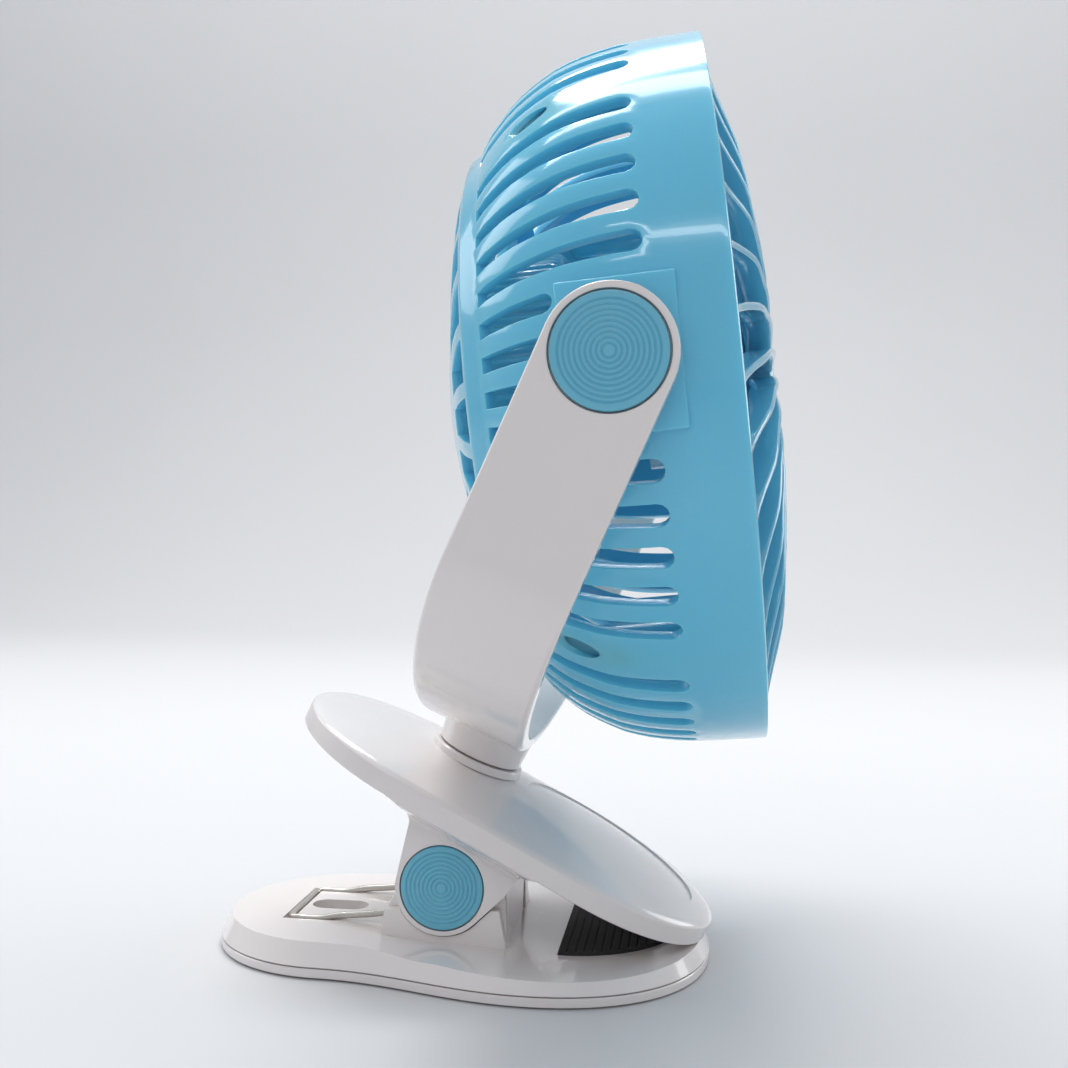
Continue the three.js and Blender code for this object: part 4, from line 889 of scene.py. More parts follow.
    def build_small_parts(self) -> None:
        """Feet, screws and the axle."""
        for k, (x, y) in enumerate(self.feet, 1):
            foot = Body.rod(Along.Z, 5.0, -0.4, 0.5, (x, y, 0), 48, 0.25)
            foot.piece(f"rubber_foot_{k}", ROW_FRAME, "base", [f"foot_{k}"], "black_rubber", BLACK_RUBBER)
        for k, (x, y) in enumerate(self.screws, 1):
            screw = cross_screw(2.8, 1.2, 0.2, 1.1, 4.6).moved(Matrix.Translation((x, y, 0)))
            screw.piece(f"cover_screw_{k}", ROW_FRAME, "base", [f"base_screw_{k}"], "steel", PLATED)
        axle = Body.rod(Along.Y, self.axle_radius, -21.1, 21.1, (0, 0, self.axle_z), 40, 0.3)
        axle.piece("clip_axle_pin", ROW_FRAME, "base", ["clip_axle"], "steel", STEEL)

    def spring_path(self) -> list[Vector]:
        """Along the wire: cross bar, leg, coil and riser on the far side, mirrored to the near side."""
        half: list[Vector] = []
        bar_x, out = self.spring_bar
        bar_z, corner, coil, pitch, turn_step = 7.8, 2.6, 5.3, 2.4, 15
        for x, y in arc(bar_x + corner, out - corner, corner, 180, 90, 8):
            half.append(Vector((x, y, bar_z + 0.02 * (x - bar_x))))
        legs = [(-39.7, 7.85), (-34, 7.9), (-28.5, 9.0), (-20, 9.9), (-14, 11.2), (-8, 13.4), (-3, 14.75),
                (0, self.axle_z - coil)]
        half += [Vector((x, out, z)) for x, z in smooth_through(legs, 4)[1:-1]]
        end = 4 * 360 + 120
        for k in range(0, end + 1, turn_step):
            angle = math.radians(-90 + k)
            half.append(Vector((coil * math.cos(angle), out - pitch * k / 360,
                                self.axle_z + coil * math.sin(angle))))
        last, angle = half[-1], math.radians(-90 + end)
        away = Vector((-math.sin(angle), 0, math.cos(angle)))
        half += [last + away * reach for reach in (2, 5, 9, 14.5)]
        return [Vector((p.x, -p.y, p.z)) for p in reversed(half)] + half

    def build_spring(self) -> None:
        """The double torsion spring as one bent wire."""
        body = wire_along(self.spring_path(), self.wire, 12)
        body.piece("clip_spring", ROW_FRAME, "base", ["torsion_spring"], "steel", STEEL)

    def build(self) -> None:
        """Builds the whole lower jaw."""
        self.build_cover()
        self.build_shell()
        self.build_pad()
        self.build_small_parts()
        self.build_spring()


def wire_along(path: Sequence[Vector], radius: float, sides: int) -> Body:
    """A round wire along a path.

    Args:
        path: points on its middle line.
        radius: half the wire's thickness.
        sides: points round it.

    Returns:
        The closed body.
    """
    across = Vector((0, 0, 1))
    rings = []
    for i, point in enumerate(path):
        heading = (path[min(i + 1, len(path) - 1)] - path[max(i - 1, 0)]).normalized()
        across = (across - heading * across.dot(heading)).normalized()
        third = heading.cross(across)
        rings.append([point + across * (radius * math.cos(a)) + third * (radius * math.sin(a))
                      for a in (math.tau * k / sides for k in range(sides))])
    return Body.loft(rings)


def cross_screw(head: float, shank: float, face: float, seat: float, end: float) -> Body:
    """A screw along +Z whose head has a cross recess.

    Args:
        head, shank: the two radii.
        face, seat, end: where the head's face, its underside and the shank's end lie.

    Returns:
        The closed body.
    """
    depth = seat - face
    dome = [(face, 0.0), (face, head * 0.5), (face + 0.18 * depth, head * 0.85), (face + 0.5 * depth, head),
            (seat, head), (seat, shank), (end - 0.8, shank), (end, 0.0)]
    body = Body.turned(dome, 32, Along.Z)
    wide, reach = head * 0.12, head * 0.6
    sink = face + 0.65 * depth
    body.put(Join.CUT, Body.block((-reach, -wide, face - 1), (reach, wide, sink)),
             Body.block((-wide, -reach, face - 1), (wide, reach, sink)))
    return body


def pad_outline(grow: float) -> list[Point2]:
    """The base's grip pad from above: straight at the back, drawn in towards the tip.

    Args:
        grow: how much wider it is on every side.

    Returns:
        The closed outline.
    """
    half, rear, front = 23 + grow, 29.3 - grow, 57.5 + grow
    lower = bezier((rear, -half), (46, -half), (front, -12), (front, 0), 20)
    return tidy(lower + [(x, -y) for x, y in reversed(lower)])


def ear_outline(grow: float) -> list[Point2]:
    """The jaw's ear from the side, in the row frame.

    Args:
        grow: how much room it has on every side.

    Returns:
        The closed outline.
    """
    tilt = math.radians(JAW_LEAN)
    radius = 11.8 + grow

    def rim(x: float) -> float:
        """The height of the jaw's lower edge."""
        return JAW_HEIGHT - JAW_RIM / math.cos(tilt) - math.tan(tilt) * x

    def quadratic(a: Point2, b: Point2, c: Point2, steps: int) -> list[Point2]:
        """Points of a curve with one handle."""
        return bezier(a, tuple(p + (q - p) * 2 / 3 for p, q in zip(a, b)),
                      tuple(p + (q - p) * 2 / 3 for p, q in zip(c, b)), c, steps)

    points: list[Point2] = [(-12, rim(-12) + 2), (-12, rim(-12))]
    points += quadratic((-12, rim(-12)), (-8 - grow, rim(-8)), (-8.4 - grow, 36.5), 8)
    points += arc(0, AXLE_HEIGHT, radius, 174, 313, 56)
    points += [(15.5, 18.7 - grow), (18.6, 22.8 - grow)]
    points += quadratic((18.6, 22.8 - grow), (21, rim(21) - 1.2), (25, rim(25)), 8)
    points += [(25, rim(25) + 2)]
    return tidy(points)


# ---------------------------------------------------------------- grooved caps


def grooved_cap(radius: float, low: float, high: float, side: int, rings: int) -> Body:
    """A disc whose outer face has round ridges about its middle.

    Args:
        radius: its radius.
        low, high: distances of its inner and outer face from the middle plane.
        side: -1 for the near side and 1 for the far side.
        rings: how many ridges its face has.

    Returns:
        The closed body, on the Y axis.
    """
    margin = radius * 0.13
    pitch = (radius - margin) / (rings + 0.5)
    profile: list[Point2] = [(low, 0.0), (low, radius - 0.2), (low + 0.2, radius), (high - 0.45, radius)]
    profile += [(high - 0.12, radius - 0.15), (high, radius - 0.5), (high, radius - margin + 0.1)]
    for k in range(rings, 0, -1):
        outer = pitch * (k + 0.5)
        profile += [(high - 0.26, outer - 0.1), (high - 0.3, outer - 0.2), (high - 0.26, outer - 0.3)]
        profile += [(high - 0.04, outer - 0.46), (high, outer - 0.6), (high - 0.02, outer - pitch + 0.12)]
    profile.append((high, 0.0))
    disc = Body.turned(profile, 96, Along.Y)
    return disc if side > 0 else disc.moved(MIRROR_Y)


# ---------------------------------------------------------------- upper jaw


@dataclass
class UpperJaw:
    """The upper jaw: domed shell with its ears, cover, pad and the two grooved caps."""

    half_width: float = 33.5
    rear_u: float = -10.0
    front_u: float = 42.0
    rim: float = JAW_RIM
    crown: float = 6.0
    wall: float = 2.4
    ear_inner: float = 19.6
    ear_outer: float = 23.0
    flare: float = 6.0
    tip_height: float = 6.8
    seat_radius: float = 12.6
    seat_plane: float = 100.5
    cap_radius: float = 10.4
    cap_seat: float = 21.2
    steps: int = 36

    def stadium(self, half: float, share: float = 1.0) -> list[Point2]:
        """The jaw from above: two round ends and straight sides.

        Args:
            half: half its width.
            share: how far it is shrunk towards the middle.

        Returns:
            The closed outline.
        """
        middle = (self.rear_u + self.front_u) / 2
        outline = arc(self.front_u, 0, half, -90, 90, self.steps)
        outline += arc(self.rear_u, 0, half, 90, 270, self.steps)
        return [(middle + (x - middle) * share, y * share) for x, y in tidy(outline)]

    def form(self, inset: float, drop: float, bottom: float, ease: float = 0.0) -> Body:
        """A side wall with a domed top over it.

        Args:
            inset: how far the wall is drawn in.
            drop: how far the dome is lowered.
            bottom: where the wall starts.
            ease: the rounding of the bottom edge and of the edge under the dome.

        Returns:
            The closed body.
        """
        half = self.half_width - inset
        sides = ((bottom, 1), (bottom + ease * 0.4, 0.35), (bottom + ease + 0.01, 0), (-1.0 - drop, 0),
                 (-0.62 - drop, 0.25), (-0.3 - drop, 1))
        levels = [(level, self.stadium(half - ease * part)) for level, part in sides]
        levels.append((0.1 - drop, self.stadium(half, 0.978)))
        for share in (0.965, 0.93, 0.88, 0.82, 0.74, 0.65, 0.55, 0.44, 0.32, 0.2, 0.09):
            levels.append((self.crown * (1 - share * share) - drop, self.stadium(half, share)))
        return Body.stack(levels)

    def on_swivel(self, body: Body) -> Body:
        """Brings a body made in the yoke's frame into the jaw's."""
        return body.moved(JAW_FRAME.inverted() @ YOKE_FRAME)

    def from_row(self, body: Body) -> Body:
        """Brings a body made in the row frame into the jaw's."""
        return body.moved(JAW_FRAME.inverted())

    def ears(self) -> Body:
        """Both ears, which flare out into the side wall."""
        foot = -self.rim - self.flare
        edge = self.half_width - 0.1
        flare = bezier((self.ear_outer, foot), (self.ear_outer + 0.6, foot + 3), (edge - 1.4, -self.rim - 2),
                       (edge, -self.rim), 16)
        section = [(self.ear_inner, -50), (self.ear_outer, -50), *flare, (edge, -self.rim + 1.5),
                   (self.ear_inner, -self.rim + 1.5)]
        near, far = (
            self.from_row(Body.slab(ear_outline(0), -40, 40, Along.Y)).put(
                Join.KEEP, Body.slab([(side * y, z) for y, z in section], -60, 90, Along.X))
            for side, _ in SIDES)
        return near.beside(far)

    def build_shell(self) -> None:
        """The domed shell with its ears, the swivel's seat and the shallow oval panel."""
        body = self.form(0, 0, -self.rim, 0.5)
        body.put(Join.CUT, self.form(self.wall, self.wall, -self.rim - 3))
        seat = [(-self.seat_plane - 5, 0.0), (-self.seat_plane - 5, 9.0), (-self.seat_plane - 2, 9.0),
                (-self.seat_plane - 2, self.seat_radius), (-self.seat_plane - 0.35, self.seat_radius),
                (-self.seat_plane, self.seat_radius - 0.35), (-self.seat_plane, 0.0)]
        body.put(Join.ADD, self.on_swivel(Body.turned(seat, 72, Along.Z)))
        middle, long, wide, count, draft = 43, 26, 24, 72, 0.978
        turns = [math.tau * k / count for k in range(count)]
        oval = [(middle + long * math.cos(a), wide * math.sin(a)) for a in turns]
        low = [(middle + (x - middle) * draft, y * draft) for x, y in oval]
        panel = Body.stack([(-2, low), (4.2, low), (30, oval)])
        body.put(Join.CUT, panel.put(Join.CUT, self.form(0, 0.5, -self.rim - 1)))
        body.put(Join.ADD, self.ears())
        swivel = Body.rod(Along.Z, PIVOT_BORE, -self.seat_plane - 7, -self.seat_plane + 1)
        body.put(Join.CUT, self.on_swivel(swivel))
        body.put(Join.CUT, self.from_row(Body.rod(Along.Y, 2.5, -50, 50, AXLE_POINT)))
        for side, _ in SIDES:
            low, high = side * self.cap_seat, side * 30
            recess = Body.rod(Along.Y, self.cap_radius + 0.3, low, high, AXLE_POINT, 96)
            body.put(Join.CUT, self.from_row(recess))
        body.put(Join.CUT, self.from_row(Body.block((30, -60, -9), (99, 60, self.tip_height))))
        body.piece("jaw_moulding", JAW_FRAME, "upper_jaw", ["jaw_shell"], "white_plastic", WHITE, even=True)

    def build_cover(self) -> None:
        """The plate that closes the jaw from below, notched for the ears."""
        rim = self.stadium(self.half_width - self.wall - 0.3)
        body = Body.stack([(-self.rim + 0.1, rim), (-self.rim + 1.7, rim)])
        for side, _ in SIDES:
            low, high = sorted((side * 19.3, side * 40))
            body.put(Join.CUT, Body.block((-16, low, -9), (37, high, 9)))
        body.put(Join.CUT, self.from_row(Body.block((30, -60, -9), (99, 60, self.tip_height))),
                 self.from_row(Body.block((-16, -4.5, 25), (4, 4.5, 60))))
        body.softened(0.25, 2)
        body.piece("jaw_cover_plate", JAW_FRAME, "upper_jaw", ["jaw_cover"], "white_plastic", WHITE,
                   even=True)

    def build_pad(self) -> None:
        """The grip pad under the jaw's tip, with cross ribs."""
        half, top = 22.0, -self.rim - 0.2
        lower = bezier((38, -half), (52, -half), (60, -12), (60, 0), 20)
        outline = tidy(lower + [(x, -y) for x, y in reversed(lower)])
        body = Body.stack([(top - 1.4, outline), (top, outline)]).softened(0.2, 2)
        body.put(Join.CUT, *(Body.rod(Along.Y, 0.4, -30, 30, (x, 0, top - 1.5), 12)
                             for x in (40 + 2.1 * k for k in range(9))))
        body.piece("jaw_grip_pad", JAW_FRAME, "upper_jaw", ["jaw_pad"], "black_rubber", BLACK_RUBBER)

    def build_caps(self) -> None:
        """The grooved disc over each end of the axle."""
        for side, name in SIDES:
            cap = grooved_cap(self.cap_radius, 21.5, 23.2, side, 8).moved(Matrix.Translation(AXLE_POINT))
            cap.piece(f"pivot_disc_{name}", ROW_FRAME, "upper_jaw", [f"pivot_cap_{name}"], "blue_plastic",
                      CAP_BLUE)

    def build(self) -> None:
        """Builds the whole upper jaw."""
        self.build_shell()
        self.build_cover()
        self.build_pad()
        self.build_caps()


# ---------------------------------------------------------------- yoke


@dataclass
class Yoke:
    """The U frame with its swivel collar, its bolts and the two grooved caps."""

    half: float = 95.0
    arm: float = 4.5
    bottom: float = 91.8
    floor: float = 3.8
    arch: float = 46.0
    width: float = 26.6
    collar_end: float = 100.2
    cap_radius: float = 11.4
    cap_face: float = 95.4
    cap_back: float = 93.4
    bolt_end: float = 76.4
    edge: float = 0.9

    def section(self, half: float, inner: Vector, outward: Vector, thick: float,
                round_out: float) -> list[Vector]:
        """A ring round the band at one station.

        Args:
            half: half the band's width there.
            inner: the middle of its inner face.
            outward: the way the outer face looks.
            thick: how thick the band is.
            round_out: the rounding of its two outer edges.

        Returns:
            The points of the ring.
        """
        small = min(0.7, half * 0.4)
        out = min(round_out, half * 0.6, thick - 0.2)
        points = arc(half - small, small, small, -90, 0, 4)
        points += arc(half - out, thick - out, out, 0, 90, 6)
        points += arc(-half + out, thick - out, out, 90, 180, 6)
        points += arc(-half + small, small, small, 180, 270, 4)
        return [inner + Vector((x, 0, 0)) + outward * y for x, y in points]

    def stations(self) -> list[list[Vector]]:
        """Rings from the far arm's round end, down, across and up the near arm."""
        reach = self.width / 2
        rings: list[list[Vector]] = []
        up = Vector((0, 1, 0))
        inside = self.half - self.arm
        for k in range(14):
            turn = math.radians(88.5 - 88.5 * k / 13)
            rings.append(self.section(reach * math.cos(turn), Vector((0, inside, reach * math.sin(turn))), up,
                                      self.arm, self.edge))
        start = -self.bottom + self.arch
        for z in (-10, -22, -34):
            rings.append(self.section(reach, Vector((0, inside, z)), up, self.arm, self.edge))
        for k in range(25):
            turn = math.pi / 2 * k / 24
            outward = Vector((0, self.arch * math.cos(turn), -self.half * math.sin(turn))).normalized()
            outer = Vector((0, self.half * math.cos(turn), start - self.arch * math.sin(turn)))
            share = math.sin(turn) ** 2
            thick = self.arm + (self.floor - self.arm) * share
            round_out = self.edge + 1.9 * share
            rings.append(self.section(reach, outer - outward * thick, outward, thick, round_out))
        mirrored = [[Vector((p.x, -p.y, p.z)) for p in ring] for ring in reversed(rings[:-1])]
        return rings + mirrored

    def build_frame(self) -> None:
        """The band, its collar and the seats that are cut into it."""
        body = Body.loft(self.stations())
        collar = [(-self.collar_end, 0.0), (-self.collar_end, 11.1), (-self.collar_end + 0.3, 11.4),
                  (-self.bottom - 0.6, 12.0), (-self.bottom - 0.1, 12.2), (-self.bottom + 1.5, 12.4),
                  (-self.bottom + 1.5, 0.0)]
        body.put(Join.ADD, Body.turned(collar, 96, Along.Z))
        tools = [Body.rod(Along.Z, PIVOT_BORE, -self.collar_end - 1, -80, steps=36),
                 Body.rod(Along.Z, 6.8, -self.bottom + self.floor - 2, -60)]
        cap = self.cap_radius
        mouth = [(93.1, 0.0), (93.1, cap + 0.36), (94.6, cap + 0.36), (94.86, cap + 0.44),
                 (95.0, cap + 0.7), (96.5, cap + 2), (96.5, 0.0)]
        for side, _ in SIDES:
            tool = Body.turned(mouth, 96, Along.Y)
            tools.append(tool if side > 0 else tool.moved(MIRROR_Y))
            tools.append(Body.rod(Along.Y, 6.3, side * 91.7, side * 97))
            tools.append(Body.rod(Along.Y, PIVOT_BORE, side * 85, side * 97, steps=36))
        body.put(Join.CUT, *tools)
        body.piece("yoke_frame", YOKE_FRAME, "yoke", ["yoke"], "white_plastic", WHITE, even=True)

    def build_caps(self) -> None:
        """The grooved disc on each arm and the bolt behind it."""
        for side, name in SIDES:
            cap = grooved_cap(self.cap_radius, self.cap_back, self.cap_face, side, 9)
            cap.piece(f"tilt_disc_{name}", YOKE_FRAME, "yoke", [f"tilt_cap_{name}"], "blue_plastic", CAP_BLUE)
            bolt = Body.rod(Along.Y, 6, side * 92, side * 93.1, ease=0.2)
            bolt.put(Join.ADD, Body.rod(Along.Y, 3, side * self.bolt_end, side * 92.5, steps=36, ease=0.4))
            bolt.piece(f"tilt_pin_{name}", YOKE_FRAME, "yoke", [f"tilt_bolt_{name}"], "steel", PLATED)

    def build(self) -> None:
        """Builds the yoke; the swivel's bolt, washer and nut keep their solids."""
        self.build_frame()
        self.build_caps()


# ---------------------------------------------------------------- head


@dataclass
class Head:
    """The slotted bowl, the finned grille, the drum behind the motor and the fastenings."""

    rim_radius: float = 88.0
    wall: float = 2.6
    slot_front: float = 16.5
    slot_front_short: float = 35.5
    slot_rear: float = 53.4
    slot_widths: tuple[float, float] = (5.0, 3.4)
    vents: tuple[float, float] = (43.5, 63.6)
    rear_rib: float = 3.4
    sectors: int = 30
    well: tuple[float, float, float] = (81.0, 2.75, 22.0)  # from axis, radius, floor
    fins: int = 36
    fin_wall: float = 1.7
    fin_twist: float = 16.0
    ring_inner: float = 81.0
    hub_radius: float = 17.0
    pod_radius: float = 40.8
    button: tuple[float, float] = (33.0, 4.1)  # above the axis, radius
    pole: float = 65.0  # the radius inside which the rear disc lies
    outside: list[Point2] = field(default_factory=lambda: [
        (0, 88), (8, 87.95), (16, 87.7), (22, 87.1), (28, 86), (34, 84.2), (39, 81.7), (44, 78.6), (48, 75.1),
        (51.4, 71.6), (54, 67.6)])
    dome: list[Point2] = field(default_factory=lambda: [(57, 66), (61, 56), (66, 36), (70.4, 16), (72, 0)])
    front: list[Point2] = field(default_factory=lambda: [
        (0, 10.4), (36, 10.0), (49, 8.5), (62, 6.6), (72, 3.3), (81, 0.35)])

    def at(self, degrees: float, radius: float, s: float) -> Vector:
        """A point of the head by its place round the axis.

        Args:
            degrees: its angle from the near side over the top.
            radius: how far it is from the axis.
            s: how far back it is from the rim.

        Returns:
            The point in the head's frame.
        """
        angle = math.radians(degrees)
        return Vector((-s, -radius * math.cos(angle), radius * math.sin(angle)))

    def rows(self) -> list[tuple[str, float, float]]:
        """The bowl's rows from rim to pole: what they cross, their depth and radius."""
        side = smooth_through(self.outside, 4)
        found = [("band", s, value_at(side, s)) for s in (0, 1.6, 5, 10, 14.6)]
        found += [("slot", s, value_at(side, s)) for s in (19, 21.5, 24.5, 28, 31, 34, 37.6, 40.4, 43, 45.6,
                                                          48, 50.4, 52.8)]
        found += [("ring", 54.4, 67.2), ("ring", 57, 65.9)]
        low, high = self.vents
        found += [("ring", self.dome_at(self.pole), self.pole)]
        found += [("vent", self.dome_at(r), r) for r in (high, 60, 56, 52, 48, low)]
        found += [("disc", self.dome_at(r), r) for r in (42, 38, 32, 25, 18, 10, 4)]
        return [*found, ("disc", 72.0, 0.0)]

    def dome_at(self, radius: float) -> float:
        """The depth of the rear disc at a radius."""
        return value_at(swapped(smooth_through(self.dome, 6)), radius)

    def slot_start(self, degrees: float) -> Union[float, None]:
        """Where the slot at an angle starts, or None where a screw well takes its place."""
        if min(abs(degrees - well) for well in WELL_ANGLES) < 1:
            return None
        to_pivot = min(degrees % 180, 180 - degrees % 180)
        return self.slot_front_short if to_pivot < 12 else self.slot_front

    def slot_half(self, s: float) -> float:
        """Half the width of a slot at a depth."""
        wide, narrow = self.slot_widths
        share = (s - self.slot_front) / (self.slot_rear - self.slot_front)
        return (wide - (wide - narrow) * share) / 2

    def sector(self, mesh: bmesh.types.BMesh, index: int, rows: Sequence[tuple[str, float, float]]) -> None:
        """Adds a sector of the bowl, with two slots and a rear vent.

        Args:
            mesh: what it is added to.
            index: which sector it is, counted from the near side over the top.
            rows: the bowl's rows.
        """
        fans = (-90, -60, -30, 0, 30, 60, 90)
        count = 2 * (len(fans) + 1)
        last = len(rows) - 1
        grid = bmesh.ops.create_grid(mesh, x_segments=count, y_segments=last, size=1)["verts"]
        keys = {v: (round((v.co.x + 1) * count / 2), round((v.co.y + 1) * last / 2)) for v in grid}
        faces = {f for v in grid for f in v.link_faces}
        side = smooth_through(self.outside, 4)
        span, middle = 360 / self.sectors, count // 2
        starts = [self.slot_start(span * (index + place)) for place in (0.25, 0.75)]
        gone = []
        for f in faces:
            columns = [keys[v][0] for v in f.verts]
            left, right = min(columns), max(columns)
            row = max(keys[v][1] for v in f.verts)
            kind, s, _ = rows[row]
            half = 0 if right <= middle else 1
            start = starts[half]
            inner = left - half * middle >= 1 and right - half * middle <= len(fans)
            if kind == "slot" and inner and start is not None and s > start + 3.2:
                gone.append(f)
            if kind == rows[row - 1][0] == "vent" and left >= 1 and right <= count - 1:
                gone.append(f)
        for v, (column, row) in keys.items():
            kind, s, r = rows[row]
            half = 0 if column <= middle else 1
            local = column - half * middle
            degrees = span * index + span / 2 * half
            start = starts[half]
            if kind in ("vent", "ring", "disc") and r <= self.pole:
                rib = math.degrees(math.asin(self.rear_rib / 2 / max(r, 14.0)))
                inner = (column - 1) / (count - 2)
                degrees = span * index
                degrees += 0 if column == 0 else span if column == count else rib + (span - 2 * rib) * inner
                if r < 20:
                    few = 16 if r < 6 else 4
                    degrees = span * (index + (column // few) * few / count)
            elif local in (0, len(fans) + 1):
                degrees += 0 if local == 0 else span / 2
            else:
                fan = math.radians(fans[local - 1])
                first = start if start is not None else self.slot_front
                arc_s = next(row_s for row_kind, row_s, _ in rows if row_kind == "slot" and row_s > first)
                depth = max(s, arc_s)
                wide = self.slot_half(min(depth, self.slot_rear))
                if kind == "slot" and s == arc_s and start is not None:
                    s = arc_s - wide * math.cos(fan)
                    r = value_at(side, s)
                degrees += span / 4 + math.degrees(wide * math.sin(fan) / r)
            v.co = self.at(degrees, r, s)
        bmesh.ops.delete(mesh, geom=gone, context="FACES")

    def bowl(self) -> Body:
        """The perforated bowl: a sheet of sectors with a wall behind it and rounded slot edges."""
        mesh = bmesh.new()
        rows = self.rows()
        for index in range(self.sectors):
            self.sector(mesh, index, rows)
        bmesh.ops.remove_doubles(mesh, verts=mesh.verts, dist=0.02)
        bmesh.ops.dissolve_degenerate(mesh, edges=mesh.edges, dist=0.01)
        bmesh.ops.recalc_face_normals(mesh, faces=mesh.faces)
        tip = max(mesh.faces, key=lambda f: -f.calc_center_median().x)
        if tip.normal.x > 0:
            bmesh.ops.reverse_faces(mesh, faces=mesh.faces)
        mesh.normal_update()
        inside = {tuple(round(c, 4) for c in v.co): v.co + v.normal * -self.wall for v in mesh.verts}
        made = bmesh.ops.extrude_face_region(mesh, geom=list(mesh.faces), use_keep_orig=True)["geom"]
        for v in (g for g in made if isinstance(g, bmesh.types.BMVert)):
            v.co = inside[tuple(round(c, 4) for c in v.co)]
        bmesh.ops.recalc_face_normals(mesh, faces=mesh.faces)
        return Body(mesh).softened(1.1, 3, 50)

    def wells(self) -> list[Body]:
        """The tube of each screw well, its mouth cut along the bowl."""
        from_axis, radius, floor = self.well
        depths = swapped(smooth_through(self.outside, 4))
        depth = value_at(depths, from_axis)
        slope = value_at(depths, from_axis - 1) - value_at(depths, from_axis + 1)
        front, back, outer = -12.0, -60.0, radius + 1.5
        profile = [(front, 0.0), (front, outer), (back, outer), (back, radius), (-floor, radius),
                   (-floor, 0.0)]
        made = []
        for degrees in WELL_ANGLES:
            tube = Body.turned(profile, 40, Along.X, self.at(degrees, from_axis, 0))
            outward = self.at(degrees, 1, 0).normalized()
            normal = (outward * slope + Vector((-2, 0, 0))).normalized()
            place = self.at(degrees, from_axis, depth) - normal * 1.2
            mesh = tube.mesh
            bmesh.ops.bisect_plane(mesh, geom=mesh.verts[:] + mesh.edges[:] + mesh.faces[:],
                                   plane_co=place, plane_no=normal, clear_outer=True)
            bmesh.ops.holes_fill(mesh, edges=[e for e in mesh.edges if e.is_boundary])
            made.append(tube.cleaned())
        return made

    def seat_panels(self) -> list[Body]:
        """The flat panel that each arm's washer bears on, a little proud of the band."""
        made = []
        for side, _ in SIDES:
            low, high = sorted((side * 84.8, side * self.rim_radius))
            made.append(Body.block((-34.5, low, -15.3), (-11, high, 15.3)).softened(0.35, 2))
        return made

    def build_bowl(self) -> None:
        """The rear moulding with its wells, seat panels, button hole and inlet."""
        from_axis, radius, floor = self.well
        body = self.bowl()
        holes = [Body.rod(Along.X, radius, -floor, -60, self.at(a, from_axis, 0), 40) for a in WELL_ANGLES]
        holes.append(Body.rod(Along.X, self.button[1] + 0.3, -50, -80, (0, 0, self.button[0])))
        inlet = [*arc(2.4, -28, 1.9, -90, 90, 10), *arc(-2.4, -28, 1.9, 90, 270, 10)]
        holes.append(Body.slab(inlet, -80, -50, Along.X))
        body.put(Join.CUT, *holes)
        body.put(Join.ADD, *self.seat_panels())
        for side, _ in SIDES:
            body.put(Join.CUT, Body.rod(Along.Y, PIVOT_BORE, side * 80, side * 99, (-HEAD_BACK, 0, 0)))
        body.beside(*self.wells())
        body.piece("rear_bowl", HEAD_FRAME, "head", ["rear_shell"], "blue_plastic", BLUE, 50.0)

    def fin(self, index: int) -> Body:
        """One fin, from the hub ring out to the rim ring, swept as it goes in.

        Args:
            index: which fin it is.

        Returns:
            The closed body.
        """
        inner, outer, steps = self.hub_radius - 1, self.ring_inner + 1, 14
        rings = []
        for k in range(steps + 1):
            r = inner + (outer - inner) * k / steps
            share = (outer - r) / (outer - inner)
            degrees = 360 / self.fins * (index + 0.5) + self.fin_twist * share
            front = value_at(smooth_through(self.front, 4), min(r, self.ring_inner))
            back = max(front - 6, -3.5)
            half, ease, near = self.fin_wall / 2, 0.5, front - 0.12
            section = [(front - ease, -half), (near, -half + 0.35), (front, 0), (near, half - 0.35),
                       (front - ease, half), (back + ease, half), (back, half - 0.3), (back, -half + 0.3),
                       (back + ease, -half)]
            rings.append([self.at(degrees + math.degrees(t / r), r, -x) for x, t in section])
        return Body.loft(rings)

    def build_grille(self) -> None:
        """The front moulding: rim ring, hub and swept fins."""
        outer = self.rim_radius - self.wall - 0.45
        ring = [(-0.4, 81.4), (-0.4, outer - 0.5), (-0.05, outer), (4, outer), (4, 81), (0, 81), (-0.4, 81.4)]
        body = Body.turned([(-s, r) for s, r in ring], 180, Along.X)
        face = -10.5
        hub = [(face + 1.4, 0.0), (face + 1.4, 13.8), (face, 13.9), (face + 0.1, 15.6), (face + 1.2, 17.0),
               (face + 6, 17.0), (face + 6, 15.0), (face + 3, 15.0), (face + 3, 0.0)]
        body.put(Join.ADD, Body.turned([(-s, r) for s, r in hub], 96, Along.X))
        fins = self.fin(0)
        fins.beside(*(self.fin(k) for k in range(1, self.fins)))
        body.put(Join.ADD, fins)
        pillars = [Body.rod(Along.X, 3.4, -1, -11.7, self.at(a, 81, 0), 32, 0.3) for a in WELL_ANGLES]
        body.put(Join.ADD, *(p.put(Join.KEEP, Body.rod(Along.X, outer, 0, -20, steps=120)) for p in pillars))
        body.piece("front_fins", HEAD_FRAME, "head", ["front_grille"], "blue_clear_plastic", CLEAR_BLUE, 40.0)
        cap = [(face - 0.9, 0.0), (face - 0.86, 4), (face - 0.5, 9), (face - 0.12, 12.6), (face + 0.3, 13.5),
               (face + 1.1, 13.5), (face + 1.1, 0.0)]
        disc = Body.turned([(-s, r) for s, r in cap], 96, Along.X)
        disc.piece("hub_cap", HEAD_FRAME, "head", ["grille_cap"], "white_plastic", WHITE)

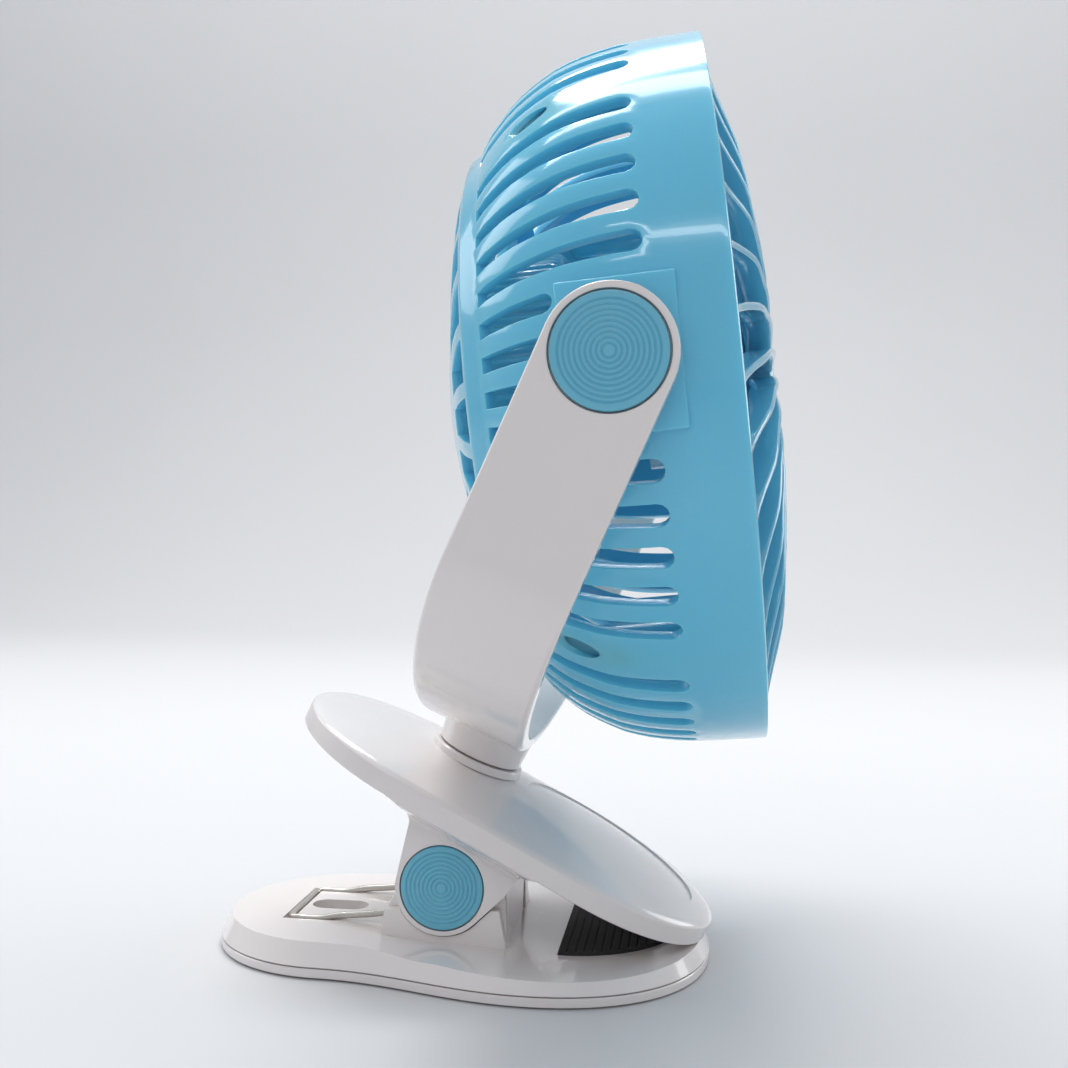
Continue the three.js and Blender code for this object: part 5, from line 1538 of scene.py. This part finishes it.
    def build_drum(self) -> None:
        """The drum behind the motor, with fine ridges along its side."""
        mouth, count = 61.4, 4 * 90
        sinks = [0.0 if k % 4 in (0, 1) else 0.7 for k in range(count)]
        rows = ((38.2, 2.5), (38.5, 1.6), (39.6, 0.5), (41.2, 0.0), (mouth - 0.3, 0.0), (mouth, 0.3))
        body = Body.loft([[self.at(360 * k / count, self.pod_radius - shrink - sink, s)
                           for k, sink in enumerate(sinks)] for s, shrink in rows])
        body.put(Join.CUT, Body.rod(Along.X, self.pod_radius - 2.2, -40.2, -80, steps=96))
        body.put(Join.ADD, Body.rod(Along.X, 15.3, -29.4, -38.7, ease=0.3))
        body.put(Join.CUT, Body.rod(Along.X, 13.5, -20, -38.2))
        body.piece("motor_drum", HEAD_FRAME, "head", ["pod_housing"], "blue_plastic", BLUE, 30.0)

    def build_small_parts(self) -> None:
        """The power button, the shell's screws, and the washer at each arm."""
        from_axis, _, floor = self.well
        height, radius = self.button
        face = self.dome_at(height) + 1.3
        knob = [(-face, 0.0), (-face + 0.05, 2.2), (-face + 0.35, 3.6), (-face + 0.9, radius),
                (-face + 5.5, radius), (-face + 5.5, 5.2), (-face + 6.0, 5.2), (-face + 6.0, 0.0)]
        button = Body.turned(knob, 48, Along.X, (0, 0, height))
        button.piece("power_key", HEAD_FRAME, "button", ["power_button"], "blue_plastic", CAP_BLUE)
        for k, degrees in enumerate(WELL_ANGLES, 1):
            screw = cross_screw(2.4, 1.2, 0, 2.0, 19).moved(
                Matrix.Translation(self.at(degrees, from_axis, floor + 2.3)) @ Along.X.value)
            screw.piece(f"bowl_screw_{k}", HEAD_FRAME, "head", [f"shell_screw_{k}"], "steel", PLATED)
        for side, name in SIDES:
            washer = Body.rod(Along.Y, 9, side * 88.3, side * 90.2, (-HEAD_BACK, 0, 0), 64, 0.3)
            washer.put(Join.CUT, Body.rod(Along.Y, PIVOT_BORE, side * 80, side * 99, (-HEAD_BACK, 0, 0), 36))
            washer.piece(f"friction_washer_{name}", HEAD_FRAME, "head", [f"tilt_washer_{name}"],
                         "black_rubber", BLACK_RUBBER)

    def build(self) -> None:
        """Builds the whole head."""
        self.build_bowl()
        self.build_grille()
        self.build_drum()
        self.build_small_parts()


# ---------------------------------------------------------------- fan


@dataclass
class Fan:
    """The turning part: hub and four broad blades on a steel shaft."""

    blades: int = 4
    radius: float = 74.0
    hub_radius: float = 17.5
    front: float = 3.0
    hub_back: float = 22.0

    def blade(self, head: Head) -> Body:
        """One blade: a thin bent plate, rounded at its tip.

        Args:
            head: gives the places round the axis.

        Returns:
            The closed body.
        """
        rings, steps = [], 14
        for k in range(steps + 1):
            share = k / steps
            r = self.hub_radius - 1 + (self.radius - self.hub_radius + 1) * share
            along = max(0.0, (r - self.hub_radius) / (self.radius - self.hub_radius))
            tip = 1 if share < 0.9 else 1 - 3.2 * (share - 0.9) ** 1.4
            half = (24 + 8 * math.sin(math.pi * along)) * tip
            depth, middle = 15 - 4 * along, self.front + 7.5
            upper, lower = [], []
            for step in range(13):
                across = step / 6 - 1
                s = middle - depth / 2 * across + 1.5 * (1 - across * across)
                thick = 0.8 if 0 < step < 12 else 0.25
                upper.append(head.at(10 * along + half * across, r, s - thick))
                lower.append(head.at(10 * along + half * across, r, s + thick))
            rings.append([*upper, *reversed(lower)])
        return Body.loft(rings)

    def build(self, head: Head) -> None:
        """The blades and hub as one moulding.

        Args:
            head: gives the places round the axis.
        """
        f, back, hub = self.front, self.hub_back, self.hub_radius
        profile = [(f - 1, 0.0), (f - 1, hub - 4), (f - 0.7, hub - 2.4), (f + 0.2, hub - 0.8), (f + 1.4, hub),
                   (back, hub), (back, hub - 1.8), (f + 1.5, hub - 1.8), (f + 1.5, 3.2), (13.3, 3.2),
                   (13.3, 1.3), (f + 1.2, 1.3), (f + 1.2, 0.0)]
        body = Body.turned([(-s, r) for s, r in profile], 72, Along.X)
        one = self.blade(head)
        for k in range(self.blades):
            turn = Matrix.Rotation(math.radians(360 / self.blades * k + 20), 4, "X")
            body.put(Join.ADD, one.copied(turn))
        body.piece("blade_wheel", HEAD_FRAME, "rotor", ["fan_blades"], "blue_clear_plastic", CLEAR_BLUE, 40.0)


# ---------------------------------------------------------------- inner pieces, stage and camera


@dataclass
class InnerPieces:
    """The solids that keep their shape and get a finish."""

    finishes: dict[str, Finish] = field(default_factory=lambda: {
        "swivel_bolt": PLATED, "swivel_washer": PLATED, "swivel_nut": PLATED, "tilt_nut_near": BRASS,
        "tilt_nut_far": BRASS, "motor_can": STEEL, "motor_end_bell": BLACK_PLASTIC, "motor_bush": BRASS,
        "battery_cell": CELL_CAN, "circuit_board": LACQUER, "charge_socket": PLATED, "motor_shaft": STEEL})

    def build(self) -> None:
        """Gives each solid its finish."""
        for name, finish in self.finishes.items():
            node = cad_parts[name]
            node.data.materials.clear()
            node.data.materials.append(finish.material())
            log.info("%s keeps its solid, in %s", name, finish.name)


@dataclass
class Studio:
    """Floor, soft light and the camera at the photograph's angle."""

    floor_z: float = -0.0004
    eye: tuple[float, float, float] = (0.062710, -0.328975, 0.108269)
    right: tuple[float, float, float] = (0.991116, 0.132258, 0.013997)
    up: tuple[float, float, float] = (-0.013843, -0.002080, 0.999902)
    ahead: tuple[float, float, float] = (-0.132265, 0.991214, 0.000231)
    lens: float = 42.42
    sensor: float = 36.0
    wall_y: float = 0.9
    wall_radius: float = 0.7

    def build_floor(self) -> None:
        """A plain pale floor that curves up into a wall behind the object."""
        line = [(-2.5, self.floor_z), (self.wall_y, self.floor_z)]
        line += [(self.wall_y + y, self.floor_z + self.wall_radius + z)
                 for y, z in arc(0, 0, self.wall_radius, -85, 0, 16)] + [(1.6, 3.0)]
        mesh = bmesh.new()
        verts = [mesh.verts.new((-3.5, y, z)) for y, z in line]
        edges = [mesh.edges.new(pair) for pair in zip(verts, verts[1:])]
        made = bmesh.ops.extrude_edge_only(mesh, edges=edges)["geom"]
        fresh = [g for g in made if isinstance(g, bmesh.types.BMVert)]
        bmesh.ops.translate(mesh, vec=(7, 0, 0), verts=fresh)
        bmesh.ops.recalc_face_normals(mesh, faces=mesh.faces)
        if mesh.faces[0].normal.z < 0:
            bmesh.ops.reverse_faces(mesh, faces=mesh.faces)
        for face in mesh.faces:
            face.smooth = True
        data = bpy.data.meshes.new("floor")
        mesh.to_mesh(data)
        mesh.free()
        floor = bpy.data.objects.new("floor", data)
        bpy.context.scene.collection.objects.link(floor)
        g = Graph("floor_paint")
        g.set(Base_Color=g.mix(g.noise(3), (0.60, 0.605, 0.615), (0.63, 0.635, 0.645)), Roughness=0.7)
        data.materials.append(g.result)

    def lamp(self, name: str, place: Sequence[float], target: Sequence[float], size: Sequence[float],
             power: float) -> None:
        """A soft rectangular lamp.

        Args:
            name: its name.
            place, target: where it hangs and what it looks at, in metres.
            size: its width and height.
            power: its strength in watts.
        """
        data = bpy.data.lights.new(name, "AREA")
        data.shape = "RECTANGLE"
        data.size, data.size_y = size
        data.energy = power
        made = bpy.data.objects.new(name, data)
        made.location = place
        made.rotation_euler = (Vector(target) - Vector(place)).to_track_quat("-Z", "Y").to_euler()
        bpy.context.scene.collection.objects.link(made)

    def build(self) -> None:
        """Builds floor, world, lamps and camera."""
        self.build_floor()
        world = bpy.data.worlds.new("pale_room")
        world.use_nodes = True
        world.node_tree.nodes["Background"].inputs[0].default_value = (0.92, 0.95, 1.0, 1)
        world.node_tree.nodes["Background"].inputs[1].default_value = 0.56
        bpy.context.scene.world = world
        middle = (0.05, 0.0, 0.14)
        self.lamp("top", (-0.08, 0.42, 1.05), middle, (0.6, 0.26), 6.2)
        self.lamp("wall", (0.0, 0.35, 1.9), (0.0, 1.6, 0.45), (2.5, 0.5), 22.0)
        self.lamp("side", (-0.95, 0.25, 0.75), middle, (0.6, 0.6), 2.2)
        self.lamp("back", (0.95, 0.6, 0.45), middle, (0.5, 0.5), 2.2)
        self.lamp("strip", (0.0, -0.95, 0.98), middle, (0.9, 0.05), 1.2)
        data = bpy.data.cameras.new("camera")
        data.lens = self.lens
        data.sensor_width = self.sensor
        data.clip_start = 0.01
        camera = bpy.data.objects.new("camera", data)
        back = tuple(-a for a in self.ahead)
        turn = Matrix((self.right, self.up, back)).transposed().to_4x4()
        camera.matrix_world = Matrix.Translation(self.eye) @ turn
        bpy.context.scene.collection.objects.link(camera)
        bpy.context.scene.camera = camera
        bpy.context.scene.view_settings.view_transform = "Standard"


def main() -> None:
    """Builds the sub-assemblies in order, then the studio."""
    logging.basicConfig(level=logging.INFO, format="%(name)s: %(message)s")
    Base().build()
    UpperJaw().build()
    Yoke().build()
    head = Head()
    head.build()
    Fan().build(head)
    InnerPieces().build()
    Studio().build()
    log.info("every piece is built")


if __name__ == "__main__":
    main()
